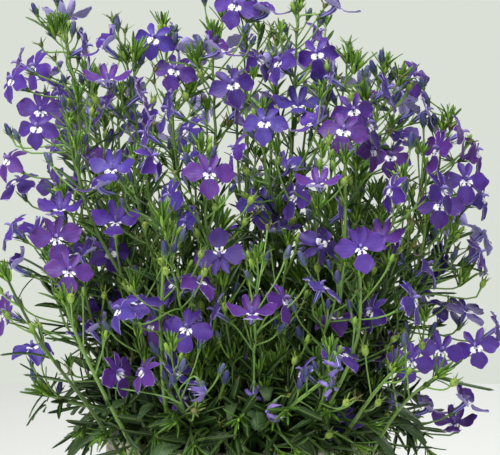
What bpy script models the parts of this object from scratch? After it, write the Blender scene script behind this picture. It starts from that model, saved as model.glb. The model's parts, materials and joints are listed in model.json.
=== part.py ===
"""Trailing lobelia in its pot: shoots with their flowers, basal leaves, soil and a plain round pot.

Metres, +Z up, origin under the pot's middle. The front of the plant faces -Y.
"""
import math

import bmesh
import bpy
import numpy as np

# Pot
POT_HEIGHT = 0.098
RIM_RADIUS = 0.056
RIM_BAND = 0.016
RIM_PROUD = 0.0025
BASE_RADIUS = 0.040
WALL = 0.0035
FLOOR = 0.005
DRAIN_HOLES = 5
DRAIN_RADIUS = 0.0045
DRAIN_CIRCLE = 0.024
POT_STEPS = 48

# Soil
SOIL_TOP = 0.086
SOIL_CROWN = 0.002
GAP = 0.0003

# Plant
CROWN_RADIUS = 0.040
PLANT_RADIUS = 0.098
STEM_FOOT_RADIUS = 0.0013
STEM_HEAD_RADIUS = 0.0008
STEM_POINTS = 15
ANKLE = 0.0015
KNEE_RISE = 0.024
SHOULDER_DROP = 0.34
SIDE_LEAN = 0.6
SIDE_KNEE = 0.32
RACEME_LENGTH = 0.050
RACHIS_RADIUS = 0.0007
NODE_HALF = 0.0006
NODE_SPACING = 0.0026
PEDICEL_RADIUS = 0.00045
CALYX_RADIUS = 0.0011
TUBE_LENGTH = 0.0075
THROAT_RADIUS = 0.0013
TUBE_LIFT = 0.30
PETAL_ROOT = 0.0020
USUAL_PEDICEL = 0.015
SHORTEST_PEDICEL = 0.006
LONGEST_PEDICEL = 0.046
PEDICEL_RISE = 0.007
BUD_RADIUS = 0.0016
BUD_FOOT = 0.0022
BUD_LENGTH = 0.0060
CLEARANCE = 0.0005
BEAD_STEP = 0.0018
STEM_BEAD = 0.0014
RACHIS_BEAD = 0.0010
TIP_BEAD = 0.0024
PEDICEL_BEAD = 0.0009
TUBE_BEAD = 0.0014
PEDICEL_LEAVES = 0.0040
NEIGHBOURHOOD = 0.060

# Bloom outline: angle from straight up, distance from the throat and height over the lip's plane
OUTLINE = [
    (0, 0.0020, 0.0), (24, 0.0078, 0.0012), (50, 0.0026, 0.0),
    (78, 0.0088, 0.0010), (108, 0.0092, 0.0006), (130, 0.0036, 0.0),
    (164, 0.0094, 0.0004), (196, 0.0094, 0.0004), (230, 0.0036, 0.0),
    (252, 0.0092, 0.0006), (282, 0.0088, 0.0010), (310, 0.0026, 0.0), (336, 0.0078, 0.0012),
]
# Beads that stand for a bloom in the clearance test: angle, distance from the throat, radius
BLOOM_BEADS = [
    (24, 0.0050, 0.0022), (336, 0.0050, 0.0022), (93, 0.0056, 0.0032), (267, 0.0056, 0.0032),
    (180, 0.0058, 0.0032), (0, 0.0, 0.0024), (78, 0.0084, 0.0012), (108, 0.0088, 0.0012),
    (164, 0.0090, 0.0012), (196, 0.0090, 0.0012), (252, 0.0088, 0.0012), (282, 0.0084, 0.0012),
]

# The photograph's frame, from which the shoots and blooms on the front take their places
PHOTO_WIDTH_PX = 500
PHOTO_HEIGHT_PX = 455
PX_PER_METRE = 2500
CAMERA_DISTANCE = 1.2
CAMERA_ELEVATION = math.radians(6)
PHOTO_CENTRE = np.array([0.002, 0.0, 0.180])

# How a bloom faces: degrees towards +X from the front, degrees up, roll, and its depth from the rachis
LOOKS = {
    "f": (0, 15, 0, -0.015),
    "g": (0, 18, 165, -0.015),
    "h": (25, 10, 215, -0.014),
    "l": (-72, 20, 0, -0.004),
    "r": (72, 20, 0, -0.004),
    "u": (-70, 50, 0, -0.004),
    "v": (70, 50, 0, -0.004),
    "p": (0, 62, 0, -0.010),
    "b": (170, 30, 0, 0.010),
}

# Small differences between neighbours: size in degrees, and how fast each changes from bloom to bloom
AZIMUTH_SWING = (16, 2.4)
TILT_SWING = (9, 1.7)
ROLL_SWING = (14, 3.1)
# What a bloom on the front tries, in turn, to be clear of its neighbours
DEPTH_SHIFTS = (0.0, -0.004, 0.004, -0.008, 0.008, -0.012, 0.012, -0.017, 0.017, -0.022)
OTHER_TURNS = (0, 2, 5)
CALYX_DROP = 0.012

# Shoots on the front: name, the stem that carries it, tip in pixels, depth of the tip, blooms
FRONT_SHOOTS = [
    ("01", None, (62, 24), 0.004,
     [(67, 17, "b"), (18, 65, "l"), (13, 80, "l"), (60, 95, "l"), (41, 111, "f"), (86, 48, "r")]),
    ("02", "01", (68, 122), -0.024,
     [(37, 127, "f"), (52, 149, "l"), (9, 160, "l"), (57, 186, "f"), (18, 182, "u"), (92, 160, "r")]),
    ("03", None, (64, 194), -0.032,
     [(60, 210, "f"), (56, 238, "f"), (11, 228, "l"), (30, 234, "l"), (80, 254, "u"), (15, 266, "l")]),
    ("04", "03", (50, 262), -0.038,
     [(69, 271, "f"), (55, 287, "u"), (6, 313, "l"), (32, 347, "p"), (92, 330, "u")]),
    ("05", None, (126, 56), -0.022,
     [(105, 46, "l"), (107, 80, "f"), (106, 104, "l"), (141, 96, "r"), (142, 118, "l"),
      (145, 135, "l"), (157, 104, "r")]),
    ("06", None, (163, 24), 0.016,
     [(154, 38, "f"), (176, 40, "r"), (175, 70, "f"), (190, 54, "r"), (150, 62, "l")]),
    ("07", "05", (134, 158), -0.050,
     [(112, 170, "f"), (99, 187, "l"), (153, 158, "r"), (116, 222, "f"), (110, 252, "f"),
      (96, 296, "p")]),
    ("08", None, (212, 32), -0.012,
     [(201, 47, "b"), (219, 50, "r"), (213, 70, "l"), (188, 131, "l"), (238, 112, "r"),
      (168, 110, "l"), (232, 84, "f")]),
    ("09", None, (247, 4), 0.014,
     [(236, 5, "f"), (267, 12, "r"), (274, 104, "r"), (258, 60, "r")]),
    ("10", None, (299, 2), -0.004,
     [(335, 7, "r"), (317, 53, "f"), (298, 106, "f"), (280, 62, "l"), (326, 78, "r")]),
    ("11", None, (348, 58), -0.026,
     [(353, 110, "f"), (344, 130, "f"), (368, 125, "r"), (313, 124, "l"), (330, 80, "l"),
      (372, 150, "r")]),
    ("12", None, (386, 64), 0.008,
     [(388, 90, "r"), (390, 125, "f"), (427, 112, "r"), (391, 156, "f"), (372, 100, "l")]),
    ("13", None, (449, 118), 0.010,
     [(462, 134, "r"), (476, 152, "r"), (466, 180, "f"), (482, 198, "r"), (440, 204, "f"),
      (436, 219, "f"), (438, 150, "l")]),
    ("14", "10", (262, 110), -0.046,
     [(265, 122, "f"), (288, 134, "r"), (290, 167, "r"), (259, 205, "f"), (279, 229, "f"),
      (234, 150, "l")]),
    ("15", None, (200, 146), -0.060,
     [(209, 173, "f"), (187, 162, "l"), (170, 198, "l"), (186, 224, "l"), (220, 254, "g"),
      (176, 284, "u")]),
    ("16", "11", (322, 152), -0.056,
     [(318, 184, "f"), (320, 246, "h"), (344, 214, "r"), (322, 272, "r"), (296, 196, "l")]),
    ("17", None, (166, 232), -0.072,
     [(138, 303, "p"), (187, 328, "f"), (152, 325, "l"), (199, 282, "v"), (120, 310, "l")]),
    ("18", "12", (402, 176), -0.034,
     [(392, 190, "l"), (442, 190, "r"), (428, 266, "r"), (392, 258, "l"), (380, 240, "f")]),
    ("19", None, (452, 232), 0.002,
     [(481, 254, "r"), (466, 311, "v"), (498, 329, "r"), (440, 262, "l"), (446, 308, "v")]),
    ("20", "19", (425, 316), -0.024,
     [(441, 351, "f"), (476, 346, "f"), (411, 361, "f"), (388, 351, "l"), (454, 424, "f"),
      (428, 408, "r"), (466, 402, "r")]),
    ("21", "17", (172, 345), -0.080,
     [(176, 372, "v"), (182, 396, "p"), (118, 373, "r"), (144, 372, "l")]),
    ("22", None, (258, 258), -0.080,
     [(252, 314, "g"), (214, 312, "l"), (230, 336, "u"), (284, 300, "r")]),
    ("23", None, (346, 262), -0.066,
     [(336, 317, "p"), (372, 311, "l"), (414, 300, "r"), (322, 287, "v"), (361, 248, "f")]),
    ("24", "23", (330, 350), -0.078,
     [(338, 419, "p"), (328, 385, "r"), (341, 354, "v"), (302, 372, "l")]),
]
LEAFY_SHOOT = ("25", (46, 392), -0.012)

# Shoots on the back: name, the stem that carries it, degrees towards +X from the front, reach, height
BACK_SHOOTS = [
    ("26", None, 128, 0.070, 0.236),
    ("27", "26", 112, 0.088, 0.182),
    ("28", "26", 146, 0.092, 0.150),
    ("29", None, 168, 0.062, 0.252),
    ("30", "29", 172, 0.090, 0.192),
    ("31", None, 205, 0.076, 0.226),
    ("32", "31", 190, 0.088, 0.146),
    ("33", None, 242, 0.074, 0.240),
    ("34", "33", 226, 0.092, 0.172),
]
BACK_BLOOMS = 7
BACK_TURN = 137.5
BACK_SWING = 75
BACK_TILT = 24
BACK_SPREAD = 0.019
BACK_RISE = 0.012
BACK_FIRST = 0.18
BACK_STRETCH = 0.74
BACK_TURNS = (0, 22, -22, 44, -44, 66, -66, 88, -88)
BACK_SPREADS = (1.0, 1.3, 0.8)

# Basal leaves: degrees towards +X from the front, reach of the tip, height of the tip, half width
BASAL_LEAVES = [
    (-68, 0.076, 0.089, 0.0075),
    (-101, 0.072, 0.102, 0.0080),
    (70, 0.076, 0.097, 0.0072),
    (4, 0.070, 0.110, 0.0070),
    (150, 0.080, 0.092, 0.0075),
]
LEAF_FOOT = 0.0455
LEAF_ARCH = 0.014
LEAF_THICKNESS = 0.0005
PETIOLE_HALF_WIDTH = 0.0009
PETIOLE_SHARE = 0.34
LEAF_STATIONS = 10

COLOURS = {
    "pot": ((0.50, 0.47, 0.38), 0.75),
    "soil": ((0.045, 0.032, 0.022), 0.95),
    "stem": ((0.16, 0.28, 0.07), 0.55),
    "petal": ((0.10, 0.045, 0.42), 0.60),
    "leaf": ((0.045, 0.12, 0.035), 0.50),
}

UP = np.array([0.0, 0.0, 1.0])


def unit(vector):
    return vector / np.linalg.norm(vector)


def seen(u, v, depth):
    """The point at Y = depth that the photograph shows at pixel u, v."""
    ahead = np.array([0.0, math.cos(CAMERA_ELEVATION), -math.sin(CAMERA_ELEVATION)])
    above = np.array([0.0, math.sin(CAMERA_ELEVATION), math.cos(CAMERA_ELEVATION)])
    eye = PHOTO_CENTRE - ahead * CAMERA_DISTANCE
    ray = ahead * PX_PER_METRE * CAMERA_DISTANCE + above * (PHOTO_HEIGHT_PX / 2 - v)
    ray[0] += u - PHOTO_WIDTH_PX / 2
    return eye + ray * (depth - eye[1]) / ray[1]


def around(degrees, reach, height):
    """The point at an angle from the front, a distance from the axis and a height."""
    angle = math.radians(degrees)
    return np.array([reach * math.sin(angle), -reach * math.cos(angle), height])


def bezier(p0, p1, p2, p3, count=60):
    t = np.linspace(0, 1, count)[:, None]
    return (1 - t) ** 3 * p0 + 3 * (1 - t) ** 2 * t * p1 + 3 * (1 - t) * t ** 2 * p2 + t ** 3 * p3


def lengths(path):
    """Distance along the path at each of its points."""
    return np.concatenate([[0.0], np.cumsum(np.linalg.norm(np.diff(path, axis=0), axis=1))])


def at_length(path, s):
    """The points at the distances s along the path."""
    along = lengths(path)
    return np.stack([np.interp(s, along, path[:, axis]) for axis in range(3)], axis=-1)


def soil_height(radius):
    return SOIL_TOP + SOIL_CROWN * (1 - (radius / RIM_RADIUS) ** 2)


def stem_path(tip):
    """A stem that leaves the soil upright and leans out to its tip."""
    reach = math.hypot(tip[0], tip[1])
    out = np.array([tip[0], tip[1], 0.0]) / reach
    foot_radius = CROWN_RADIUS * min(1.0, 0.2 + 0.85 * reach / PLANT_RADIUS)
    foot = out * foot_radius
    foot[2] = soil_height(foot_radius) + GAP
    rise = tip[2] - foot[2]
    ankle = foot + UP * ANKLE
    knee = ankle + UP * max(0.30 * rise, KNEE_RISE) + out * 0.10 * (reach - foot_radius)
    shoulder = tip - UP * SHOULDER_DROP * rise - out * 0.16 * reach
    return np.concatenate([foot[None], bezier(ankle, knee, shoulder, tip)])


def stem_radius(share):
    return STEM_FOOT_RADIUS + (STEM_HEAD_RADIUS - STEM_FOOT_RADIUS) * share


def side_path(carrier, tip):
    """A side shoot: it leaves its stem below the tip and turns up to it."""
    start_height = max(tip[2] - 1.1 * RACEME_LENGTH, SOIL_TOP + 0.014)
    index = int(np.argmin(np.abs(carrier[:, 2] - start_height)))
    start = carrier[index]
    along = unit(carrier[index + 1] - carrier[index - 1])
    away = tip - start
    away = unit(away - along * np.dot(away, along))
    share = lengths(carrier)[index] / lengths(carrier)[-1]
    start = start + away * (stem_radius(share) + RACHIS_RADIUS * SIDE_LEAN + GAP)
    span = np.linalg.norm(tip - start)
    knee = start + (away * math.sqrt(1 - SIDE_LEAN ** 2) + along * SIDE_LEAN) * SIDE_KNEE * span
    shoulder = tip - UP * SHOULDER_DROP * span
    return bezier(start, knee, shoulder, tip)


def facing(look, serial):
    """Unit vectors out of a bloom's face, towards its upper petals and to its right."""
    azimuth, tilt, roll, _ = look
    azimuth = math.radians(azimuth + AZIMUTH_SWING[0] * math.sin(AZIMUTH_SWING[1] * serial))
    tilt = math.radians(tilt + TILT_SWING[0] * math.sin(TILT_SWING[1] * serial + 1))
    roll = math.radians(roll + ROLL_SWING[0] * math.sin(ROLL_SWING[1] * serial))
    face = np.array([
        math.sin(azimuth) * math.cos(tilt), -math.cos(azimuth) * math.cos(tilt), math.sin(tilt)])
    top = unit(UP - face * face[2])
    side = np.cross(top, face)
    return face, top * math.cos(roll) + side * math.sin(roll)


def beads_on(path, radius, skip=0.0):
    """Balls along a path: one row each of x, y, z and radius."""
    total = lengths(path)[-1]
    count = max(2, int((total - skip) / BEAD_STEP))
    points = at_length(path, np.linspace(skip, total, count))
    return np.column_stack([points, np.full(count, radius)])


def bloom_beads(bloom):
    side = np.cross(bloom["top"], bloom["face"])
    rows = []
    for angle, distance, radius in BLOOM_BEADS:
        turn = math.radians(angle)
        place = bloom["throat"] + distance * (bloom["top"] * math.cos(turn) + side * math.sin(turn))
        rows.append([*place, radius])
    return np.array(rows)


def room(beads, others):
    """The smallest gap between two sets of beads."""
    if not len(others):
        return 1.0
    apart = np.linalg.norm(beads[:, None, :3] - others[None, :, :3], axis=2)
    return float((apart - beads[:, None, 3] - others[None, :, 3]).min())


def make_bloom(shoot, throat, face, top):
    """A bloom on its pedicel: the free spot where it leaves the rachis, and the way to its throat."""
    path = shoot["path"]
    tube = unit(face + UP * TUBE_LIFT)
    calyx = throat - tube * TUBE_LENGTH
    total = lengths(path)[-1]
    samples = np.linspace(0.003, total - 0.004, 70)
    for other in shoot["blooms"]:
        samples = samples[np.abs(samples - other["s"]) >= NODE_SPACING]
    points = at_length(path, samples)
    gone = np.linalg.norm(points - calyx, axis=1)
    drop = calyx[2] - points[:, 2]
    cost = np.abs(gone - USUAL_PEDICEL) + np.maximum(0.0, PEDICEL_RISE - drop) * 1.5
    index = int(np.argmin(cost))
    start = points[index]
    along = unit(at_length(path, samples[index] + 0.001) - start)
    away = calyx - start
    span = np.linalg.norm(away)
    flat = unit(away - along * np.dot(away, along) + 1e-9)
    stalk = bezier(start, start + (flat * 0.75 + along * 0.65) * 0.34 * span,
                   calyx - tube * 0.30 * span, calyx, 24)
    return {"throat": throat, "face": face, "top": top, "tube": tube, "calyx": calyx,
            "stalk": stalk, "s": float(samples[index]), "span": span}


def place_bloom(shoot, options, taken):
    """The first of the options that is clear of everything, on a node of its own."""
    for throat, face, top in options:
        bloom = make_bloom(shoot, throat, face, top)
        if not SHORTEST_PEDICEL < bloom["span"] < LONGEST_PEDICEL:
            continue
        petals = bloom_beads(bloom)
        stalk = beads_on(bloom["stalk"], PEDICEL_BEAD, skip=PEDICEL_LEAVES)
        near = np.concatenate(taken)
        close = np.linalg.norm(near[:, :3] - throat, axis=1) < NEIGHBOURHOOD
        near = near[close]
        if room(petals, near) < CLEARANCE or room(stalk, near) < CLEARANCE:
            continue
        taken.append(petals)
        taken.append(beads_on(bloom["stalk"], PEDICEL_BEAD, skip=PEDICEL_LEAVES))
        taken.append(beads_on(np.stack([bloom["calyx"], throat]), TUBE_BEAD))
        shoot["blooms"].append(bloom)
        return True
    return False


def front_options(shoot, spot, serial):
    """A bloom seen at a pixel, tried at several depths."""
    u, v, kind = spot
    path = shoot["path"]
    flat = seen(u, v, 0.0)
    depth = float(np.interp(flat[2] - CALYX_DROP, path[:, 2], path[:, 1])) + LOOKS[kind][3]
    for shift in DEPTH_SHIFTS:
        for turn in OTHER_TURNS:
            face, top = facing(LOOKS[kind], serial + turn)
            yield seen(u, v, depth + shift), face, top


def back_options(shoot, index, serial):
    """A bloom on the far side, turned and raised until it is clear."""
    path = shoot["path"]
    total = lengths(path)[-1]
    start = at_length(path, total * (BACK_FIRST + BACK_STRETCH * index / BACK_BLOOMS))
    azimuth = shoot["azimuth"]
    for turn in BACK_TURNS:
        for spread in BACK_SPREADS:
            swing = azimuth + BACK_SWING * math.sin(math.radians(BACK_TURN * serial)) + turn
            face, top = facing((swing, BACK_TILT, 0, 0), serial)
            throat = start + around(swing, BACK_SPREAD * spread, BACK_RISE)
            yield throat, face, top


def leaf_beads(azimuth, reach, height, half_width):
    path = leaf_path(azimuth, reach, height)
    angle = math.radians(azimuth)
    across = np.array([math.cos(angle), math.sin(angle), 0.0])
    rows = []
    for share in np.linspace(0, 1, 14):
        wide = leaf_half_width(share, half_width)
        for offset in (-0.65, 0.0, 0.65):
            place = at_length(path, share * lengths(path)[-1]) + across * offset * wide
            rows.append([*place, 0.4 * wide])
    return np.array(rows)


def plan_shoots():
    """Every stem and raceme with its blooms, in the order they are grown."""
    shoots = {}
    for name, carrier, tip_px, depth, spots in FRONT_SHOOTS:
        shoots[name] = {"carrier": carrier, "tip": seen(*tip_px, depth), "spots": spots}
    name, tip_px, depth = LEAFY_SHOOT
    shoots[name] = {"carrier": None, "tip": seen(*tip_px, depth), "spots": []}
    for name, carrier, azimuth, reach, height in BACK_SHOOTS:
        tip = around(azimuth, reach, height)
        shoots[name] = {"carrier": carrier, "tip": tip, "azimuth": azimuth, "spots": range(BACK_BLOOMS)}
    for name, shoot in shoots.items():
        grow_axis(name, shoot, shoots)
    taken = [leaf_beads(*leaf) for leaf in BASAL_LEAVES]
    for shoot in shoots.values():
        shoot["blooms"] = []
        if shoot["stem"] is not None:
            taken.append(beads_on(shoot["stem"], STEM_BEAD))
        if shoot["path"] is not None:
            taken.append(beads_on(shoot["path"], RACHIS_BEAD))
            taken.append(np.array([[*shoot["tip"], TIP_BEAD]]))
    serial = 0
    for name, shoot in shoots.items():
        for index, spot in enumerate(shoot["spots"]):
            serial += 1
            if "azimuth" in shoot:
                options = back_options(shoot, index, serial)
            else:
                options = front_options(shoot, spot, serial)
            if not place_bloom(shoot, options, taken):
                print("no room for bloom", index + 1, "of shoot", name)
        shoot["blooms"].sort(key=lambda bloom: bloom["s"])
    return shoots


def grow_axis(name, shoot, shoots):
    """The stem below and the rachis above, which meet with the gap between them."""
    if shoot["carrier"]:
        shoot["stem"] = None
        shoot["path"] = side_path(shoots[shoot["carrier"]]["stem"], shoot["tip"])
        return
    whole = stem_path(shoot["tip"])
    total = lengths(whole)[-1]
    if name == LEAFY_SHOOT[0]:
        shoot["stem"] = whole
        shoot["path"] = None
        return
    split = total - RACEME_LENGTH
    shoot["stem"] = at_length(whole, np.linspace(0, split, 60))
    shoot["path"] = at_length(whole, np.linspace(split + GAP, total, 40))


def material_for(name, kind):
    """A material of its own for each node."""
    colour, roughness = COLOURS[kind]
    material = bpy.data.materials.new(name)
    material.use_nodes = True
    surface = material.node_tree.nodes["Principled BSDF"]
    surface.inputs["Base Color"].default_value = (*colour, 1)
    surface.inputs["Roughness"].default_value = roughness
    surface.inputs["Metallic"].default_value = 0
    return material


def add_object(name, data, kind, home):
    node = bpy.data.objects.new(name, data)
    data.materials.append(material_for(name, kind))
    home.objects.link(node)
    return node


def add_mesh(name, bm, kind, home):
    """Turns a finished bmesh into an object of triangles that face outward."""
    bmesh.ops.recalc_face_normals(bm, faces=bm.faces)
    bmesh.ops.triangulate(bm, faces=bm.faces)
    mesh = bpy.data.meshes.new(name)
    bm.to_mesh(mesh)
    bm.free()
    return add_object(name, mesh, kind, home)


def turned(name, profile, steps, kind, home):
    """A profile of radius and height turned about Z, from axis to axis, outer side from the top down."""
    mesh = bpy.data.meshes.new(name)
    edges = [(i, i + 1) for i in range(len(profile) - 1)]
    mesh.from_pydata([(radius, 0, height) for radius, height in profile], edges, [])
    node = add_object(name, mesh, kind, home)
    screw = node.modifiers.new("turn", "SCREW")
    screw.steps = steps
    screw.render_steps = steps
    screw.use_merge_vertices = True
    screw.merge_threshold = 0.00001
    screw.use_normal_calculate = True
    return node


def build_pot(home, cutters):
    inner_rim = RIM_RADIUS - RIM_PROUD - WALL
    inner_base = BASE_RADIUS - WALL
    floor_radius = inner_base + (inner_rim - inner_base) * FLOOR / POT_HEIGHT
    band_foot = POT_HEIGHT - RIM_BAND
    neck = RIM_RADIUS - RIM_PROUD
    wall_at_band = BASE_RADIUS + (neck - BASE_RADIUS) * band_foot / POT_HEIGHT
    profile = [
        (0.0, FLOOR), (floor_radius, FLOOR), (inner_rim, POT_HEIGHT - 0.001),
        (inner_rim + 0.001, POT_HEIGHT), (RIM_RADIUS - 0.0015, POT_HEIGHT),
        (RIM_RADIUS, POT_HEIGHT - 0.0015), (RIM_RADIUS, band_foot + 0.001),
        (RIM_RADIUS - 0.001, band_foot), (wall_at_band, band_foot - 0.001),
        (BASE_RADIUS, 0.0015), (BASE_RADIUS - 0.0015, 0.0), (0.0, 0.0),
    ]
    pot = turned("pot", profile, POT_STEPS, "pot", home)
    for index in range(DRAIN_HOLES):
        turn = math.tau * (index + 0.5) / DRAIN_HOLES
        bpy.ops.mesh.primitive_cylinder_add(
            vertices=12, radius=DRAIN_RADIUS, depth=4 * FLOOR,
            location=(DRAIN_CIRCLE * math.cos(turn), DRAIN_CIRCLE * math.sin(turn), FLOOR / 2))
        cutter = bpy.context.object
        cutter.name = f"drain_cutter_{index + 1}"
        cutter.hide_render = True
        cutter.display_type = "WIRE"
        for collection in cutter.users_collection:
            collection.objects.unlink(cutter)
        cutters.objects.link(cutter)
        drill = pot.modifiers.new(f"drain_{index + 1}", "BOOLEAN")
        drill.operation = "DIFFERENCE"
        drill.solver = "EXACT"
        drill.object = cutter
    return pot


def build_soil(home):
    """The root ball: it fills the pot a little below the rim and is slightly crowned."""
    inner_rim = RIM_RADIUS - RIM_PROUD - WALL
    inner_base = BASE_RADIUS - WALL
    taper = (inner_rim - inner_base) / POT_HEIGHT
    foot = FLOOR + GAP
    edge = inner_base + taper * SOIL_TOP - 1.5 * GAP
    profile = [(0.0, soil_height(0))]
    for share in (0.35, 0.7):
        profile.append((edge * share, soil_height(edge * share)))
    profile += [(edge, soil_height(edge)), (inner_base + taper * foot - 1.5 * GAP, foot), (0.0, foot)]
    return turned("soil", profile, POT_STEPS, "soil", home)


def build_stem(name, path, home):
    curve = bpy.data.curves.new(name, "CURVE")
    curve.dimensions = "3D"
    curve.bevel_depth = 1.0
    curve.bevel_resolution = 1
    curve.use_fill_caps = True
    total = lengths(path)[-1]
    stops = [0.0, *np.linspace(ANKLE, total, STEM_POINTS)]
    spline = curve.splines.new("POLY")
    spline.points.add(len(stops) - 1)
    for point, stop in zip(spline.points, stops):
        point.co = (*at_length(path, stop), 1)
        point.radius = stem_radius(stop / total)
    return add_object(name, curve, "stem", home)


def rachis_frames(path, stops):
    """Centre, direction and two cross directions at each stop, carried along without twist."""
    frames = []
    across = None
    for stop in stops:
        total = lengths(path)[-1]
        before = at_length(path, max(0.0, stop - 0.001))
        after = at_length(path, min(total, stop + 0.001))
        ahead = unit(after - before)
        if across is None:
            across = unit(np.cross(ahead, [0.3, 1.0, 0.0]))
        across = unit(across - ahead * np.dot(across, ahead))
        frames.append((at_length(path, stop), ahead, across, np.cross(ahead, across)))
    return frames


def square_ring(bm, frame, radius):
    centre, _, first, second = frame
    corners = ((1, 1), (-1, 1), (-1, -1), (1, -1))
    return [bm.verts.new(centre + (first * a + second * b) * radius / math.sqrt(2)) for a, b in corners]


def skin(bm, lower, upper, leave_out=None):
    """Four-sided band between two rings of four, with one side left open if asked."""
    for side in range(4):
        if side != leave_out:
            nxt = (side + 1) % 4
            bm.faces.new((lower[side], lower[nxt], upper[nxt], upper[side]))


def zip_rings(bm, inner, outer):
    """Triangles between two rings sorted by angle: each item is an angle and a vertex."""
    inner = sorted(inner, key=lambda item: item[0])
    outer = sorted(outer, key=lambda item: item[0])
    i = j = 0
    while i < len(inner) or j < len(outer):
        inner_next = inner[i + 1][0] if i + 1 < len(inner) else inner[0][0] + math.tau
        outer_next = outer[j + 1][0] if j + 1 < len(outer) else outer[0][0] + math.tau
        here_in = inner[i % len(inner)][1]
        here_out = outer[j % len(outer)][1]
        if j >= len(outer) or (i < len(inner) and inner_next < outer_next):
            bm.faces.new((here_in, inner[(i + 1) % len(inner)][1], here_out))
            i += 1
        else:
            bm.faces.new((here_in, outer[(j + 1) % len(outer)][1], here_out))
            j += 1


def grow_bloom(bm, quad, bloom):
    """Draws a pedicel, a tube and the five petals out of one side of the rachis."""
    points = [vert.co for vert in quad]
    first = np.array((points[0] + points[1] - points[2] - points[3]).normalized())
    second = np.array((points[0] - points[1]).normalized())
    stalk = bloom["stalk"]
    total = lengths(stalk)[-1]
    out = unit(at_length(stalk, 0.3 * total) - np.array(sum(points, points[0] * 0) / 4))
    sense = 1 if np.dot(second, np.cross(out, first)) > 0 else -1
    stations = [
        (at_length(stalk, 0.5 * total), unit(at_length(stalk, 0.6 * total) - at_length(stalk, 0.4 * total)),
         PEDICEL_RADIUS),
        (bloom["calyx"], bloom["tube"], CALYX_RADIUS),
        (bloom["throat"] - bloom["face"] * PETAL_ROOT, bloom["face"], THROAT_RADIUS),
    ]
    ring = quad
    for centre, ahead, radius in stations:
        first = unit(first - ahead * np.dot(first, ahead))
        second = np.cross(ahead, first) * sense
        reach = radius * 0.85
        corners = ((1, 1), (1, -1), (-1, -1), (-1, 1))
        nxt = [bm.verts.new(centre + (first * a + second * b) * reach) for a, b in corners]
        skin(bm, ring, nxt)
        ring = nxt
    petals(bm, ring, bloom)


def petals(bm, ring, bloom):
    throat, face, top = bloom["throat"], bloom["face"], bloom["top"]
    side = np.cross(top, face)
    outer = []
    for angle, distance, height in OUTLINE:
        turn = math.radians(angle)
        spot = throat + distance * (top * math.cos(turn) + side * math.sin(turn)) + face * height
        outer.append((turn, bm.verts.new(spot)))
    inner = []
    for vert in ring:
        offset = np.array(vert.co) - throat
        inner.append((math.atan2(np.dot(offset, side), np.dot(offset, top)) % math.tau, vert))
    zip_rings(bm, inner, outer)
    middle = bm.verts.new(throat - face * 0.0005)
    for index in range(len(outer)):
        bm.faces.new((outer[index][1], outer[(index + 1) % len(outer)][1], middle))


def build_raceme(name, shoot, home):
    """The rachis with every bloom drawn out of its sides and a bud at its end."""
    path = shoot["path"]
    total = lengths(path)[-1]
    stops = [0.0]
    for bloom in shoot["blooms"]:
        stops += [bloom["s"] - NODE_HALF, bloom["s"] + NODE_HALF]
    stops.append(total - BUD_FOOT)
    frames = rachis_frames(path, stops)
    bm = bmesh.new()
    rings = [square_ring(bm, frame, RACHIS_RADIUS) for frame in frames]
    bm.faces.new(rings[0])
    for index in range(len(rings) - 1):
        bloom = shoot["blooms"][index // 2] if index % 2 and index // 2 < len(shoot["blooms"]) else None
        if bloom is None:
            skin(bm, rings[index], rings[index + 1])
            continue
        lower, upper = rings[index], rings[index + 1]
        outward = at_length(bloom["stalk"], 0.3 * lengths(bloom["stalk"])[-1]) - frames[index][0]
        best = max(range(4), key=lambda side: float(np.dot(
            outward, np.array(lower[side].co + lower[(side + 1) % 4].co) / 2 - frames[index][0])))
        skin(bm, lower, upper, leave_out=best)
        nxt = (best + 1) % 4
        grow_bloom(bm, [lower[best], lower[nxt], upper[nxt], upper[best]], bloom)
    centre, ahead, first, second = frames[-1]
    belly = square_ring(bm, (centre + ahead * BUD_FOOT, ahead, first, second), BUD_RADIUS)
    skin(bm, rings[-1], belly)
    point = bm.verts.new(centre + ahead * BUD_LENGTH)
    for side in range(4):
        bm.faces.new((belly[side], belly[(side + 1) % 4], point))
    return add_mesh(name, bm, "petal", home)


def leaf_path(azimuth, reach, height):
    """A basal leaf's midrib: up from the soil, over the rim and down to the tip."""
    foot = around(azimuth, LEAF_FOOT, soil_height(LEAF_FOOT) + GAP)
    tip = around(azimuth, reach, height)
    knee = around(azimuth, LEAF_FOOT + 0.001, POT_HEIGHT + LEAF_ARCH)
    shoulder = around(azimuth, reach - 0.010, max(height, POT_HEIGHT) + LEAF_ARCH)
    return bezier(foot, knee, shoulder, tip)


def leaf_half_width(share, half_width):
    """A narrow petiole that opens into an oval blade from a third of the way up."""
    opened = max(0.0, (share - PETIOLE_SHARE) / (1 - PETIOLE_SHARE))
    blade = max(0.0, math.sin(math.pi * opened ** 0.8))
    return PETIOLE_HALF_WIDTH + (half_width - PETIOLE_HALF_WIDTH) * blade


def build_leaf(name, azimuth, reach, height, half_width, home):
    path = leaf_path(azimuth, reach, height)
    total = lengths(path)[-1]
    angle = math.radians(azimuth)
    across = np.array([math.cos(angle), math.sin(angle), 0.0])
    bm = bmesh.new()
    previous = None
    for index in range(LEAF_STATIONS):
        share = index / LEAF_STATIONS
        here = at_length(path, share * total)
        ahead = unit(at_length(path, min(total, share * total + 0.001)) - here)
        normal = np.cross(across, ahead)
        wide = leaf_half_width(share, half_width)
        ring = [bm.verts.new(here + across * wide), bm.verts.new(here + normal * LEAF_THICKNESS),
                bm.verts.new(here - across * wide), bm.verts.new(here - normal * LEAF_THICKNESS)]
        if previous:
            skin(bm, previous, ring)
        else:
            bm.faces.new(ring)
        previous = ring
    tip = bm.verts.new(path[-1])
    for side in range(4):
        bm.faces.new((previous[side], previous[(side + 1) % 4], tip))
    return add_mesh(name, bm, "leaf", home)


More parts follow.
